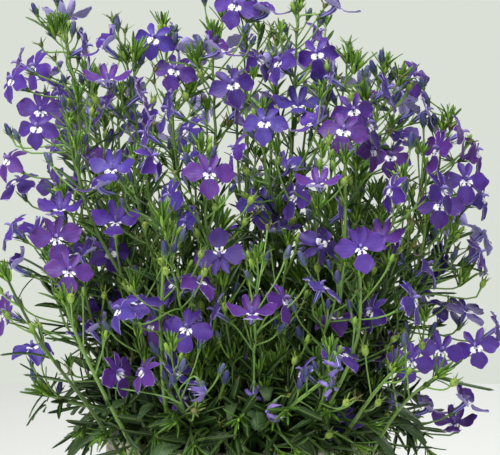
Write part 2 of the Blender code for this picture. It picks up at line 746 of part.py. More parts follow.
def build_lobelia():
    for old in list(bpy.data.objects):
        bpy.data.objects.remove(old, do_unlink=True)
    home = bpy.data.collections.new("trailing_lobelia")
    cutters = bpy.data.collections.new("cutters")
    bpy.context.scene.collection.children.link(home)
    bpy.context.scene.collection.children.link(cutters)
    build_pot(home, cutters)
    build_soil(home)
    for index, leaf in enumerate(BASAL_LEAVES):
        build_leaf(f"basal_leaf_{index + 1:02d}", *leaf, home)
    shoots = plan_shoots()
    for name, shoot in shoots.items():
        if shoot["stem"] is not None:
            build_stem(f"stem_{name}", shoot["stem"], home)
        if shoot["path"] is not None:
            build_raceme(f"raceme_{name}", shoot, home)
    print("blooms:", sum(len(shoot["blooms"]) for shoot in shoots.values()))


build_lobelia()
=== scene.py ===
import json
import math

import bmesh
import bpy
import numpy as np
from mathutils import Matrix, Vector

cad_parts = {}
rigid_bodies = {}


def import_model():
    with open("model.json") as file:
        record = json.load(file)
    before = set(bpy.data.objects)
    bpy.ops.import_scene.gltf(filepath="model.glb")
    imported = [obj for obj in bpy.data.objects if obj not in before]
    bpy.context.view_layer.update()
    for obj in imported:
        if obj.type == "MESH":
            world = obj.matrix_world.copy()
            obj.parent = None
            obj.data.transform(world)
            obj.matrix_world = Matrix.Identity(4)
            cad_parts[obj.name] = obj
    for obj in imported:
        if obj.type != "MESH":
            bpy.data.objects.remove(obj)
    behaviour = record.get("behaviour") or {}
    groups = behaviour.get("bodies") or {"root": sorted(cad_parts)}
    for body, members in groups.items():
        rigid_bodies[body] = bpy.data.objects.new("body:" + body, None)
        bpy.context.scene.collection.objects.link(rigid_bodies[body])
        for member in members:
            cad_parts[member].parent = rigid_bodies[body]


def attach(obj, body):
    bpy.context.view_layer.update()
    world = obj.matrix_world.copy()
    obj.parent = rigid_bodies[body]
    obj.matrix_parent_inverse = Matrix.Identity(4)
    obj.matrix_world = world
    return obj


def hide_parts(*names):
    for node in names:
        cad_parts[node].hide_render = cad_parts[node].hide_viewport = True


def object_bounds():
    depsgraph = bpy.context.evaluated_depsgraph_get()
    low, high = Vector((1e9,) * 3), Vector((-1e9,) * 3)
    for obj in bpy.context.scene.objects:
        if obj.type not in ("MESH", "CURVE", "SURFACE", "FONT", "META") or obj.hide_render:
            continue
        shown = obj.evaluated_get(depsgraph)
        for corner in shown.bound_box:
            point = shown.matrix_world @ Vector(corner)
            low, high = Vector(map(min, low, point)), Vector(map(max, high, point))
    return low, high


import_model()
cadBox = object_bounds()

# Trailing lobelia in a plain pot. Metres, +Z up, and the front of the plant faces -Y.

photo = {
    "widthPx": 500,
    "heightPx": 455,
    "pxPerMetre": 2500,  # at the middle of the plant
    "distance": 1.2,
    "elevation": math.radians(6),
    "centre": np.array([0.002, 0.0, 0.180]),
    "sensor": 36,
}
ahead = np.array([0.0, math.cos(photo["elevation"]), -math.sin(photo["elevation"])])
above = np.array([0.0, math.sin(photo["elevation"]), math.cos(photo["elevation"])])
eye = photo["centre"] - ahead * photo["distance"]


def shade(code):
    # A colour as the eye reads it, such as 4b2f9a, in the linear values that shaders take
    parts = [int(code[i:i + 2], 16) / 255 for i in (0, 2, 4)]
    return tuple(p / 12.92 if p <= 0.04045 else ((p + 0.055) / 1.055) ** 2.4 for p in parts)


def stand(name, data):
    # A new object in the scene
    thing = bpy.data.objects.new(name, data)
    bpy.context.scene.collection.objects.link(thing)
    return thing


def setCamera():
    camera = stand("camera", bpy.data.cameras.new("camera"))
    camera.location = eye
    camera.rotation_euler = (math.pi / 2 - photo["elevation"], 0, 0)
    camera.data.sensor_width = photo["sensor"]
    span = photo["pxPerMetre"] * photo["distance"]
    camera.data.lens = span / photo["widthPx"] * photo["sensor"]
    camera.data.clip_end = 20
    bpy.context.scene.camera = camera


studio = {
    "wall": "dbe0d7",
    "table": "f1f3ef",
    "tableRadius": 0.755,
    "tableDepth": 0.02,
    "ambient": 0.17,  # how brightly the wall lights the plant
    "lamps": {  # place, size, watts
        "over": ((-0.20, -0.40, 1.15), 0.6, 15.5),
        "left": ((-1.1, -0.9, 0.75), 0.5, 9.5),
        "front": ((0.5, -1.5, 0.6), 0.6, 6),
        "back": ((0.6, 1.0, 0.9), 0.8, 6.5),
    },
    "aim": (0, 0, 0.16),
}


def setLamp(name, place, size, watts):
    lamp = stand(name, bpy.data.lights.new(name, "AREA"))
    lamp.data.energy = watts
    lamp.data.size = size
    lamp.location = place
    towards = (Vector(studio["aim"]) - lamp.location).normalized()
    lamp.rotation_euler = towards.to_track_quat("-Z", "Y").to_euler()


def setStudio():
    # The camera sees the wall, and a dimmer one lights the plant
    world = bpy.data.worlds.new("room")
    bpy.context.scene.world = world
    world.use_nodes = True
    nodes = Nodes(world.node_tree)
    backdrop = world.node_tree.nodes["Background"]
    nodes.feed(backdrop.inputs["Color"], studio["wall"])
    glow = nodes.add("ShaderNodeBackground", {"Color": studio["wall"], "Strength": studio["ambient"]})
    toCamera = nodes.add("ShaderNodeLightPath", {}, "Is Camera Ray")
    either = nodes.add("ShaderNodeMixShader", {0: toCamera, 1: glow, 2: backdrop.outputs[0]})
    nodes.feed(world.node_tree.nodes["World Output"].inputs["Surface"], either)
    bpy.context.scene.view_settings.view_transform = "Standard"
    for name, lamp in studio["lamps"].items():
        setLamp(name, *lamp)


potShape = {
    "height": 0.098,
    "rimRadius": 0.056,
    "rimBand": 0.016,
    "rimProud": 0.0025,
    "baseRadius": 0.040,
    "wall": 0.0035,
    "floor": 0.005,
    "drainHoles": 5,
    "drainRadius": 0.0045,
    "drainCircle": 0.024,
}

soilShape = {
    "top": 0.086,
    "crown": 0.002,
    "gap": 0.0003,
}

growth = {
    "crownRadius": 0.040,
    "plantRadius": 0.098,
    "stemRadii": (0.0013, 0.0008),
    "ankle": 0.0015,
    "kneeRise": 0.024,
    "shoulderDrop": 0.34,
    "sideLean": 0.6,
    "sideKnee": 0.32,
    "racemeLength": 0.050,
    "rachisRadius": 0.0007,
}

spacing = {
    "nodeSpacing": 0.0026,
    "tubeLength": 0.0075,
    "tubeLift": 0.30,
    "usualPedicel": 0.015,
    "shortestPedicel": 0.006,
    "longestPedicel": 0.046,
    "pedicelRise": 0.007,
    "calyxDrop": 0.012,
    "clearance": 0.0005,
    "beadStep": 0.0018,
    "stemBead": 0.0014,
    "rachisBead": 0.0010,
    "tipBead": 0.0024,
    "pedicelBead": 0.0009,
    "tubeBead": 0.0014,
    "pedicelLeaves": 0.0040,
    "neighbourhood": 0.060,
}

goldenTurn = 137.5  # degrees from one leaf or shoot to the next
backGrowth = {
    "blooms": 7,
    "swing": 75,
    "tilt": 24,
    "spread": 0.019,
    "rise": 0.012,
    "first": 0.18,
    "stretch": 0.74,
    "turns": (0, 22, -22, 44, -44, 66, -66, 88, -88),
    "spreads": (1.0, 1.3, 0.8),
}

basalShape = {
    "foot": 0.0455,
    "arch": 0.014,
    "petioleHalfWidth": 0.0009,
    "petioleShare": 0.34,
}

# Beads that stand for a bloom in the clearance test: angle, distance from the throat, radius
beadPlaces = [
    (24, 0.0050, 0.0022), (336, 0.0050, 0.0022), (93, 0.0056, 0.0032), (267, 0.0056, 0.0032),
    (180, 0.0058, 0.0032), (0, 0.0, 0.0024), (78, 0.0084, 0.0012), (108, 0.0088, 0.0012),
    (164, 0.0090, 0.0012), (196, 0.0090, 0.0012), (252, 0.0088, 0.0012), (282, 0.0084, 0.0012),
]
# Ways that a front bloom looks: its azimuth, tilt and roll, and how far it is behind the rachis
looks = {
    "f": (0, 15, 0, -0.015),
    "g": (0, 18, 165, -0.015),
    "h": (25, 10, 215, -0.014),
    "l": (-72, 20, 0, -0.004),
    "r": (72, 20, 0, -0.004),
    "u": (-70, 50, 0, -0.004),
    "v": (70, 50, 0, -0.004),
    "p": (0, 62, 0, -0.010),
    "b": (170, 30, 0, 0.010),
}
# How those angles swing from bloom to bloom: degrees, pace and start
swings = ((16, 2.4, 0), (9, 1.7, 1), (14, 3.1, 0))
depthShifts = (0.0, -0.004, 0.004, -0.008, 0.008, -0.012, 0.012, -0.017, 0.017, -0.022)
otherTurns = (0, 2, 5)
# Front shoots: name, carrier, pixel and depth of the tip, and the pixel and look of each bloom
frontShoots = [
    ("01", None, (62, 24), 0.004, [(67, 17, "b"), (18, 65, "l"), (13, 80, "l"), (60, 95, "l"),
     (41, 111, "f"), (86, 48, "r")]),
    ("02", "01", (68, 122), -0.024, [(37, 127, "f"), (52, 149, "l"), (9, 160, "l"), (57, 186, "f"),
     (18, 182, "u"), (92, 160, "r")]),
    ("03", None, (64, 194), -0.032, [(60, 210, "f"), (56, 238, "f"), (11, 228, "l"), (30, 234, "l"),
     (80, 254, "u"), (15, 266, "l")]),
    ("04", "03", (50, 262), -0.038, [(69, 271, "f"), (55, 287, "u"), (6, 313, "l"), (32, 347, "p"),
     (92, 330, "u")]),
    ("05", None, (126, 56), -0.022, [(105, 46, "l"), (107, 80, "f"), (106, 104, "l"), (141, 96, "r"),
     (142, 118, "l"), (145, 135, "l"), (157, 104, "r")]),
    ("06", None, (163, 24), 0.016, [(154, 38, "f"), (176, 40, "r"), (175, 70, "f"), (190, 54, "r"),
     (150, 62, "l")]),
    ("07", "05", (134, 158), -0.050, [(112, 170, "f"), (99, 187, "l"), (153, 158, "r"), (116, 222, "f"),
     (110, 252, "f"), (96, 296, "p")]),
    ("08", None, (212, 32), -0.012, [(201, 47, "b"), (219, 50, "r"), (213, 70, "l"), (188, 131, "l"),
     (238, 112, "r"), (168, 110, "l"), (232, 84, "f")]),
    ("09", None, (247, 4), 0.014, [(236, 5, "f"), (267, 12, "r"), (274, 104, "r"), (258, 60, "r")]),
    ("10", None, (299, 2), -0.004, [(335, 7, "r"), (317, 53, "f"), (298, 106, "f"), (280, 62, "l"),
     (326, 78, "r")]),
    ("11", None, (348, 58), -0.026, [(353, 110, "f"), (344, 130, "f"), (368, 125, "r"), (313, 124, "l"),
     (330, 80, "l"), (372, 150, "r")]),
    ("12", None, (386, 64), 0.008, [(388, 90, "r"), (390, 125, "f"), (427, 112, "r"), (391, 156, "f"),
     (372, 100, "l")]),
    ("13", None, (449, 118), 0.010, [(462, 134, "r"), (476, 152, "r"), (466, 180, "f"), (482, 198, "r"),
     (440, 204, "f"), (436, 219, "f"), (438, 150, "l")]),
    ("14", "10", (262, 110), -0.046, [(265, 122, "f"), (288, 134, "r"), (290, 167, "r"),
     (259, 205, "f"), (279, 229, "f"), (234, 150, "l")]),
    ("15", None, (200, 146), -0.060, [(209, 173, "f"), (187, 162, "l"), (170, 198, "l"),
     (186, 224, "l"), (220, 254, "g"), (176, 284, "u")]),
    ("16", "11", (322, 152), -0.056, [(318, 184, "f"), (320, 246, "h"), (344, 214, "r"),
     (322, 272, "r"), (296, 196, "l")]),
    ("17", None, (166, 232), -0.072, [(138, 303, "p"), (187, 328, "f"), (152, 325, "l"),
     (199, 282, "v"), (120, 310, "l")]),
    ("18", "12", (402, 176), -0.034, [(392, 190, "l"), (442, 190, "r"), (428, 266, "r"),
     (392, 258, "l"), (380, 240, "f")]),
    ("19", None, (452, 232), 0.002, [(481, 254, "r"), (466, 311, "v"), (498, 329, "r"), (440, 262, "l"),
     (446, 308, "v")]),
    ("20", "19", (425, 316), -0.024, [(441, 351, "f"), (476, 346, "f"), (411, 361, "f"),
     (388, 351, "l"), (454, 424, "f"), (428, 408, "r"), (466, 402, "r")]),
    ("21", "17", (172, 345), -0.080, [(176, 372, "v"), (182, 396, "p"), (118, 373, "r"),
     (144, 372, "l")]),
    ("22", None, (258, 258), -0.080, [(252, 314, "g"), (214, 312, "l"), (230, 336, "u"),
     (284, 300, "r")]),
    ("23", None, (346, 262), -0.066, [(336, 317, "p"), (372, 311, "l"), (414, 300, "r"),
     (322, 287, "v"), (361, 248, "f")]),
    ("24", "23", (330, 350), -0.078, [(338, 419, "p"), (328, 385, "r"), (341, 354, "v"),
     (302, 372, "l")]),
]
leafyShoot = ("25", None, (46, 392), -0.012, [])
# Name, carrier, azimuth, reach and height of the tip
backShoots = [
    ("26", None, 128, 0.070, 0.236),
    ("27", "26", 112, 0.088, 0.182),
    ("28", "26", 146, 0.092, 0.150),
    ("29", None, 168, 0.062, 0.252),
    ("30", "29", 172, 0.090, 0.192),
    ("31", None, 205, 0.076, 0.226),
    ("32", "31", 190, 0.088, 0.146),
    ("33", None, 242, 0.074, 0.240),
    ("34", "33", 226, 0.092, 0.172),
]
# Azimuth, reach, height and half width
basalLeaves = [
    (-68, 0.076, 0.089, 0.0075),
    (-101, 0.072, 0.102, 0.0080),
    (70, 0.076, 0.097, 0.0072),
    (4, 0.070, 0.110, 0.0070),
    (150, 0.080, 0.092, 0.0075),
]
up = np.array([0.0, 0.0, 1.0])


def unit(vector):
    return vector / np.linalg.norm(vector)


def seen(u, v, depth):
    # The point at Y = depth that the photograph shows at pixel u, v
    ray = ahead * photo["pxPerMetre"] * photo["distance"] + above * (photo["heightPx"] / 2 - v)
    ray[0] += u - photo["widthPx"] / 2
    return eye + ray * (depth - eye[1]) / ray[1]


def around(degrees, reach, height):
    # The point at an angle from the front, a distance from the axis and a height
    angle = math.radians(degrees)
    return np.array([reach * math.sin(angle), -reach * math.cos(angle), height])


def bezier(p0, p1, p2, p3, count=60):
    t = np.linspace(0, 1, count)[:, None]
    return (1 - t) ** 3 * p0 + 3 * (1 - t) ** 2 * t * p1 + 3 * (1 - t) * t ** 2 * p2 + t ** 3 * p3


def lengths(path):
    # Distance along the path at each of its points
    return np.concatenate([[0.0], np.cumsum(np.linalg.norm(np.diff(path, axis=0), axis=1))])


def atLength(path, s):
    # The points at the distances s along the path
    along = lengths(path)
    return np.stack([np.interp(s, along, path[:, axis]) for axis in range(3)], axis=-1)


def soilHeight(radius):
    return soilShape["top"] + soilShape["crown"] * (1 - (radius / potShape["rimRadius"]) ** 2)


def stemPath(tip):
    # A stem that leaves the soil upright and leans out to its tip
    reach = math.hypot(tip[0], tip[1])
    out = np.array([tip[0], tip[1], 0.0]) / reach
    footRadius = growth["crownRadius"] * min(1.0, 0.2 + 0.85 * reach / growth["plantRadius"])
    foot = out * footRadius
    foot[2] = soilHeight(footRadius) + soilShape["gap"]
    rise = tip[2] - foot[2]
    ankle = foot + up * growth["ankle"]
    knee = ankle + up * max(0.30 * rise, growth["kneeRise"]) + out * 0.10 * (reach - footRadius)
    shoulder = tip - up * growth["shoulderDrop"] * rise - out * 0.16 * reach
    return np.concatenate([foot[None], bezier(ankle, knee, shoulder, tip)])


def stemRadius(share):
    foot, head = growth["stemRadii"]
    return foot + (head - foot) * share


def sidePath(carrier, tip):
    # A side shoot: it leaves its stem below the tip and turns up to it
    startHeight = max(tip[2] - 1.1 * growth["racemeLength"], soilShape["top"] + 0.014)
    index = int(np.argmin(np.abs(carrier[:, 2] - startHeight)))
    start = carrier[index]
    along = unit(carrier[index + 1] - carrier[index - 1])
    away = tip - start
    away = unit(away - along * np.dot(away, along))
    share = lengths(carrier)[index] / lengths(carrier)[-1]
    seat = stemRadius(share) + growth["rachisRadius"] * growth["sideLean"] + soilShape["gap"]
    start = start + away * seat
    span = np.linalg.norm(tip - start)
    lean = away * math.sqrt(1 - growth["sideLean"] ** 2) + along * growth["sideLean"]
    knee = start + lean * growth["sideKnee"] * span
    shoulder = tip - up * growth["shoulderDrop"] * span
    return bezier(start, knee, shoulder, tip)


def facing(look, serial):
    # Unit vectors out of a bloom's face, towards its upper petals and to its right
    azimuth, tilt, roll = [math.radians(angle + size * math.sin(pace * serial + start))
                           for angle, (size, pace, start) in zip(look, swings)]
    face = np.array([
        math.sin(azimuth) * math.cos(tilt), -math.cos(azimuth) * math.cos(tilt), math.sin(tilt)])
    top = unit(up - face * face[2])
    side = np.cross(top, face)
    return face, top * math.cos(roll) + side * math.sin(roll)


def beadsOn(path, radius, skip=0.0):
    # Balls along a path: one row each of x, y, z and radius
    total = lengths(path)[-1]
    count = max(2, int((total - skip) / spacing["beadStep"]))
    points = atLength(path, np.linspace(skip, total, count))
    return np.column_stack([points, np.full(count, radius)])


def bloomBeads(bloom):
    side = np.cross(bloom["top"], bloom["face"])
    rows = []
    for angle, distance, radius in beadPlaces:
        turn = math.radians(angle)
        place = bloom["throat"] + distance * (bloom["top"] * math.cos(turn) + side * math.sin(turn))
        rows.append([*place, radius])
    return np.array(rows)


def room(beads, others):
    # The smallest gap between two sets of beads
    if not len(others):
        return 1.0
    apart = np.linalg.norm(beads[:, None, :3] - others[None, :, :3], axis=2)
    return float((apart - beads[:, None, 3] - others[None, :, 3]).min())


def makeBloom(shoot, throat, face, top):
    # A bloom on its pedicel: the free spot where it leaves the rachis, and the way to its throat
    path = shoot["path"]
    tube = unit(face + up * spacing["tubeLift"])
    calyx = throat - tube * spacing["tubeLength"]
    total = lengths(path)[-1]
    samples = np.linspace(0.003, total - 0.004, 70)
    for other in shoot["blooms"]:
        samples = samples[np.abs(samples - other["s"]) >= spacing["nodeSpacing"]]
    points = atLength(path, samples)
    gone = np.linalg.norm(points - calyx, axis=1)
    drop = calyx[2] - points[:, 2]
    cost = np.abs(gone - spacing["usualPedicel"]) + np.maximum(0.0, spacing["pedicelRise"] - drop) * 1.5
    index = int(np.argmin(cost))
    start = points[index]
    along = unit(atLength(path, samples[index] + 0.001) - start)
    away = calyx - start
    span = np.linalg.norm(away)
    flat = unit(away - along * np.dot(away, along) + 1e-9)
    stalk = bezier(start, start + (flat * 0.75 + along * 0.65) * 0.34 * span,
                   calyx - tube * 0.30 * span, calyx, 24)
    return {"throat": throat, "face": face, "top": top, "tube": tube, "calyx": calyx,
            "stalk": stalk, "s": float(samples[index]), "span": span}


def placeBloom(shoot, options, taken):
    # The first of the options that is clear of everything, on a node of its own
    for throat, face, top in options:
        bloom = makeBloom(shoot, throat, face, top)
        if not spacing["shortestPedicel"] < bloom["span"] < spacing["longestPedicel"]:
            continue
        petals = bloomBeads(bloom)
        stalk = beadsOn(bloom["stalk"], spacing["pedicelBead"], skip=spacing["pedicelLeaves"])
        near = np.concatenate(taken)
        near = near[np.linalg.norm(near[:, :3] - throat, axis=1) < spacing["neighbourhood"]]
        if min(room(petals, near), room(stalk, near)) < spacing["clearance"]:
            continue
        taken += [petals, stalk, beadsOn(np.stack([bloom["calyx"], throat]), spacing["tubeBead"])]
        shoot["blooms"].append(bloom)
        return True
    return False


def frontOptions(shoot, spot, serial):
    # A bloom seen at a pixel, tried at several depths
    u, v, kind = spot
    path = shoot["path"]
    flat = seen(u, v, 0.0)
    depth = float(np.interp(flat[2] - spacing["calyxDrop"], path[:, 2], path[:, 1])) + looks[kind][3]
    for shift in depthShifts:
        for turn in otherTurns:
            face, top = facing(looks[kind], serial + turn)
            yield seen(u, v, depth + shift), face, top


def backOptions(shoot, index, serial):
    # A bloom on the far side, turned and raised until it is clear
    path = shoot["path"]
    total = lengths(path)[-1]
    share = backGrowth["first"] + backGrowth["stretch"] * index / backGrowth["blooms"]
    start = atLength(path, total * share)
    middle = shoot["azimuth"] + backGrowth["swing"] * math.sin(math.radians(goldenTurn * serial))
    for turn in backGrowth["turns"]:
        for spread in backGrowth["spreads"]:
            swing = middle + turn
            face, top = facing((swing, backGrowth["tilt"], 0, 0), serial)
            throat = start + around(swing, backGrowth["spread"] * spread, backGrowth["rise"])
            yield throat, face, top


def leafBeads(azimuth, reach, height, halfWidth):
    path = leafPath(azimuth, reach, height)
    across = around(azimuth + 90, 1.0, 0.0)
    rows = []
    for share in np.linspace(0, 1, 14):
        wide = leafHalfWidth(share, halfWidth)
        for offset in (-0.65, 0.0, 0.65):
            place = atLength(path, share * lengths(path)[-1]) + across * offset * wide
            rows.append([*place, 0.4 * wide])
    return np.array(rows)


def leafPath(azimuth, reach, height):
    # A basal leaf's midrib: up from the soil, over the rim and down to the tip
    foot = around(azimuth, basalShape["foot"], soilHeight(basalShape["foot"]) + soilShape["gap"])
    tip = around(azimuth, reach, height)
    knee = around(azimuth, basalShape["foot"] + 0.001, potShape["height"] + basalShape["arch"])
    shoulder = around(azimuth, reach - 0.010, max(height, potShape["height"]) + basalShape["arch"])
    return bezier(foot, knee, shoulder, tip)


def bladeShare(share):
    # How far along the blade, which starts where the petiole ends
    return max(0.0, (share - basalShape["petioleShare"]) / (1 - basalShape["petioleShare"]))


def leafHalfWidth(share, halfWidth):
    # A narrow petiole that opens into an oval blade from a third of the way up
    opened = bladeShare(share)
    blade = max(0.0, math.sin(math.pi * opened ** 0.8))
    return basalShape["petioleHalfWidth"] + (halfWidth - basalShape["petioleHalfWidth"]) * blade


def growAxis(name, shoot, shoots):
    # The stem below and the rachis above, which meet with the gap between them
    if shoot["carrier"]:
        stem, path = None, sidePath(shoots[shoot["carrier"]]["stem"], shoot["tip"])
    elif name == leafyShoot[0]:
        stem, path = stemPath(shoot["tip"]), None
    else:
        whole = stemPath(shoot["tip"])
        total = lengths(whole)[-1]
        split = total - growth["racemeLength"]
        stem = atLength(whole, np.linspace(0, split, 60))
        path = atLength(whole, np.linspace(split + soilShape["gap"], total, 40))
    shoot.update(stem=stem, path=path, blooms=[])


def planShoots():
    # Every stem and raceme with its blooms, in the order they are grown
    shoots = {}
    for name, carrier, tipPx, depth, spots in [*frontShoots, leafyShoot]:
        shoots[name] = {"carrier": carrier, "tip": seen(*tipPx, depth), "spots": spots}
    for name, carrier, azimuth, reach, height in backShoots:
        shoots[name] = {"carrier": carrier, "tip": around(azimuth, reach, height), "azimuth": azimuth,
                        "spots": range(backGrowth["blooms"])}
    for name, shoot in shoots.items():
        growAxis(name, shoot, shoots)
    taken = [leafBeads(*leaf) for leaf in basalLeaves]
    for shoot in shoots.values():
        if shoot["stem"] is not None:
            taken.append(beadsOn(shoot["stem"], spacing["stemBead"]))
        if shoot["path"] is not None:
            taken.append(beadsOn(shoot["path"], spacing["rachisBead"]))
            taken.append(np.array([[*shoot["tip"], spacing["tipBead"]]]))
    serial = 0
    for name, shoot in shoots.items():
        for index, spot in enumerate(shoot["spots"]):
            serial += 1
            if "azimuth" in shoot:
                options = backOptions(shoot, index, serial)
            else:
                options = frontOptions(shoot, spot, serial)
            if not placeBloom(shoot, options, taken):
                print("no room for bloom", index + 1, "of shoot", name)
        shoot["blooms"].sort(key=lambda bloom: bloom["s"])
    return shoots


class Nodes:
    # A node tree in the making: most calls add a node and return the socket of its result
    def __init__(self, tree, material=None):
        self.tree = tree
        self.material = material

    def feed(self, socket, term):
        # A socket is linked, a colour's code becomes its shade, and anything else is set as it is
        if isinstance(term, bpy.types.NodeSocket):
            self.tree.links.new(term, socket)
        elif isinstance(term, str) and socket.type == "RGBA":
            socket.default_value = (*shade(term), 1)
        else:
            socket.default_value = term

    def add(self, kind, given, result=0, **settings):
        # given: what goes into each input, by its name or number
        node = self.tree.nodes.new(kind)
        for key, value in settings.items():
            setattr(node, key, value)
        for key, term in given.items():
            self.feed(node.inputs[key], term)
        return node.outputs[result]

    def calc(self, operation, *terms):
        return self.add("ShaderNodeMath", dict(enumerate(terms)), operation=operation)

    def times(self, product, *terms):
        for term in terms:
            product = self.calc("MULTIPLY", product, term)
        return product

    def ramp(self, value, low, high):
        # 0 at low and 1 at high, with a soft bend between; low may be the larger
        return self.add("ShaderNodeMapRange", {"Value": value, "From Min": low, "From Max": high},
                        "Result", interpolation_type="SMOOTHSTEP")

    def mixed(self, factor, first, second):
        return self.add("ShaderNodeMix", {0: factor, 6: first, 7: second}, 2, data_type="RGBA")

    def over(self, colour, mask, veil):
        # Lays another colour over the first where the mask is; veil is that colour and its share
        return self.mixed(self.times(mask, veil[1]), colour, veil[0])

    def attribute(self, name, result="Fac"):
        return self.add("ShaderNodeAttribute", {}, result, attribute_name=name)

    def parted(self, vector):
        return self.add("ShaderNodeSeparateXYZ", {0: vector}).node.outputs

    def noise(self, scale, detail=2.0, stretch=None):
        # Noise on the piece's own coordinates; stretch scales each axis
        spot = self.add("ShaderNodeTexCoord", {}, "Object")
        if stretch:
            spot = self.add("ShaderNodeMapping", {"Vector": spot, "Scale": stretch})
        return self.add("ShaderNodeTexNoise", {"Vector": spot, "Scale": scale, "Detail": detail}, "Fac")

    def painted(self, geometry, material):
        return self.add("GeometryNodeSetMaterial", {"Geometry": geometry, "Material": material})

    def copies(self, material, given):
        # Copies of a shape on points, made real and painted
        spread = self.add("GeometryNodeInstanceOnPoints", given, "Instances")
        return self.painted(self.add("GeometryNodeRealizeInstances", {"Geometry": spread}), material)

    def mottled(self, colour, patches, specks, patchScale, speckScale):
        given = {"Colour": colour, "Patches": patches, "Specks": specks, "Patch Scale": patchScale,
                 "Speck Scale": speckScale}
        result = self.add("ShaderNodeGroup", given, "Colour", node_tree=mottle)
        return result, result.node.outputs["Height"]


def newTree(name, kind, inputs, outputs):
    # An empty node group with its named inputs and outputs
    tree = bpy.data.node_groups.new(name, kind)
    for sockets, side in ((inputs, "INPUT"), (outputs, "OUTPUT")):
        for label, carries in sockets.items():
            tree.interface.new_socket(label, in_out=side, socket_type="NodeSocket" + carries)
    given, result = [tree.nodes.new("NodeGroup" + side) for side in ("Input", "Output")]
    return Nodes(tree), given.outputs, result.inputs


def mottleGroup():
    # Uneven colour as in anything that grew or was fired: soft patches and fine specks
    nodes, given, result = newTree(
        "mottle", "ShaderNodeTree",
        {"Colour": "Color", "Patches": "Float", "Specks": "Float", "Patch Scale": "Float",
         "Speck Scale": "Float"}, {"Colour": "Color", "Height": "Float"})
    patches, specks = nodes.noise(given["Patch Scale"]), nodes.noise(given["Speck Scale"], 4.0)
    swing = nodes.times(nodes.calc("SUBTRACT", patches, 0.5), given["Patches"])
    fleck = nodes.times(nodes.calc("SUBTRACT", specks, 0.5), given["Specks"])
    gain = nodes.calc("ADD", nodes.calc("ADD", swing, fleck), 1.0)
    scaled = nodes.add("ShaderNodeVectorMath", {0: given["Colour"], "Scale": gain}, operation="SCALE")
    nodes.feed(result["Colour"], scaled)
    nodes.feed(result["Height"], specks)
    return nodes.tree


mottle = mottleGroup()


def finish(name, **constants):
    # The nodes of a new material, with the constants on its Principled node
    material = bpy.data.materials.new(name)
    material.use_nodes = True
    surface = material.node_tree.nodes["Principled BSDF"].inputs
    for words, value in constants.items():
        surface[words.replace("_", " ")].default_value = value
    return Nodes(material.node_tree, material)


def coat(nodes, colour, relief, strength, distance, rough=None):
    # Joins all to the surface; rough is a height with its gain and its start
    surface = nodes.tree.nodes["Principled BSDF"].inputs
    bump = {"Height": relief, "Strength": strength, "Distance": distance}
    nodes.feed(surface["Base Color"], colour)
    nodes.feed(surface["Normal"], nodes.add("ShaderNodeBump", bump))
    if rough:
        nodes.feed(surface["Roughness"], nodes.calc("MULTIPLY_ADD", *rough))
    return nodes.material


petalLook = {
    "edge": ("55208c", 0.45),  # a colour and how much of it shows
    "heart": ("503ca0", 0.38),
    "vein": ("241458", 0.30),
    "veinPitch": 17.0,
    "under": "c4b8f6",
    "underVein": ("6a58c8", 0.45),
    "underTint": 0.20,
    "eye": "f4f2fa",
    # throat: the near-black of the painted shade where the tube opens
    "throat": "1c1038",
    "eyePlace": (0.115, -0.125),  # of each white spot from the throat, in centimetres
    "eyeSize": (0.125, 0.125),
    "eyeRagged": 0.9,  # how far its edge breaks up into rays
    # Place and size of that painted shade, in centimetres
    "mouthShadePlace": (0.0, -0.165),
    "mouthShadeSize": (0.050, 0.050),
}


def ellipse(nodes, across, along, place, size):
    # Distance from an ellipse's middle, which is 1 on its edge
    squares = []
    for value, middle, half in zip((across, along), place, size):
        gone = nodes.calc("DIVIDE", nodes.calc("SUBTRACT", value, middle), half)
        squares.append(nodes.times(gone, gone))
    return nodes.calc("SQRT", nodes.calc("ADD", *squares))


def petalFinish():
    nodes = finish("velvetPetal", Roughness=0.55, Sheen_Weight=0.10, Sheen_Roughness=0.4)
    calc, times, ramp, mixed, look = nodes.calc, nodes.times, nodes.ramp, nodes.mixed, petalLook
    tint = nodes.attribute("tint", "Color")
    along, across = nodes.attribute("along"), nodes.attribute("across")
    side = calc("ABSOLUTE", across)
    spot = nodes.parted(nodes.attribute("spot", "Vector"))
    # Violet runs in from the rim, and the middle of each lobe is paler
    rim = calc("MAXIMUM", ramp(side, 0.55, 1.05), ramp(along, 0.70, 1.05))
    middle = times(ramp(side, 0.75, 0.0), ramp(along, 0.85, 0.15))
    fan = calc("SINE", times(across, look["veinPitch"]))
    vein = times(ramp(fan, 0.55, 1.0), ramp(along, 1.0, 0.25))
    colour = tint
    for mask, name in ((rim, "edge"), (middle, "heart"), (vein, "vein")):
        colour = nodes.over(colour, mask, look[name])
    # Two white spots on the lip, and painted shade for the tube's opening between and below them
    onLip = ramp(spot[2], 0.6, 0.4)
    ragged = times(calc("SUBTRACT", nodes.noise(1400.0, 1.0), 0.5), look["eyeRagged"])
    eye = ellipse(nodes, calc("ABSOLUTE", spot[0]), spot[1], look["eyePlace"], look["eyeSize"])
    colour = mixed(times(ramp(calc("ADD", eye, ragged), 1.12, 0.85), onLip), colour, look["eye"])
    mouth = ellipse(nodes, spot[0], spot[1], look["mouthShadePlace"], look["mouthShadeSize"])
    colour = mixed(times(ramp(mouth, 1.3, 0.7), onLip), colour, look["throat"])
    # Underneath, pale lavender with violet stripes
    stripes = times(ramp(fan, 0.0, 0.8), ramp(along, 1.05, 0.4), look["underVein"][1])
    back = mixed(look["underTint"], mixed(stripes, look["under"], look["underVein"][0]), tint)
    colour = mixed(nodes.attribute("under"), colour, back)
    colour, height = nodes.mottled(colour, 0.22, 0.14, 260.0, 2600.0)
    return coat(nodes, colour, calc("ADD", times(fan, 0.5), height), 0.35, 0.00008)


# edge: a painted highlight along each ridge crest of the tube
tubeLook = {"body": "9d97d8", "stripe": "3a369c", "edge": ("d9d6f0", 0.7), "tint": 0.25}


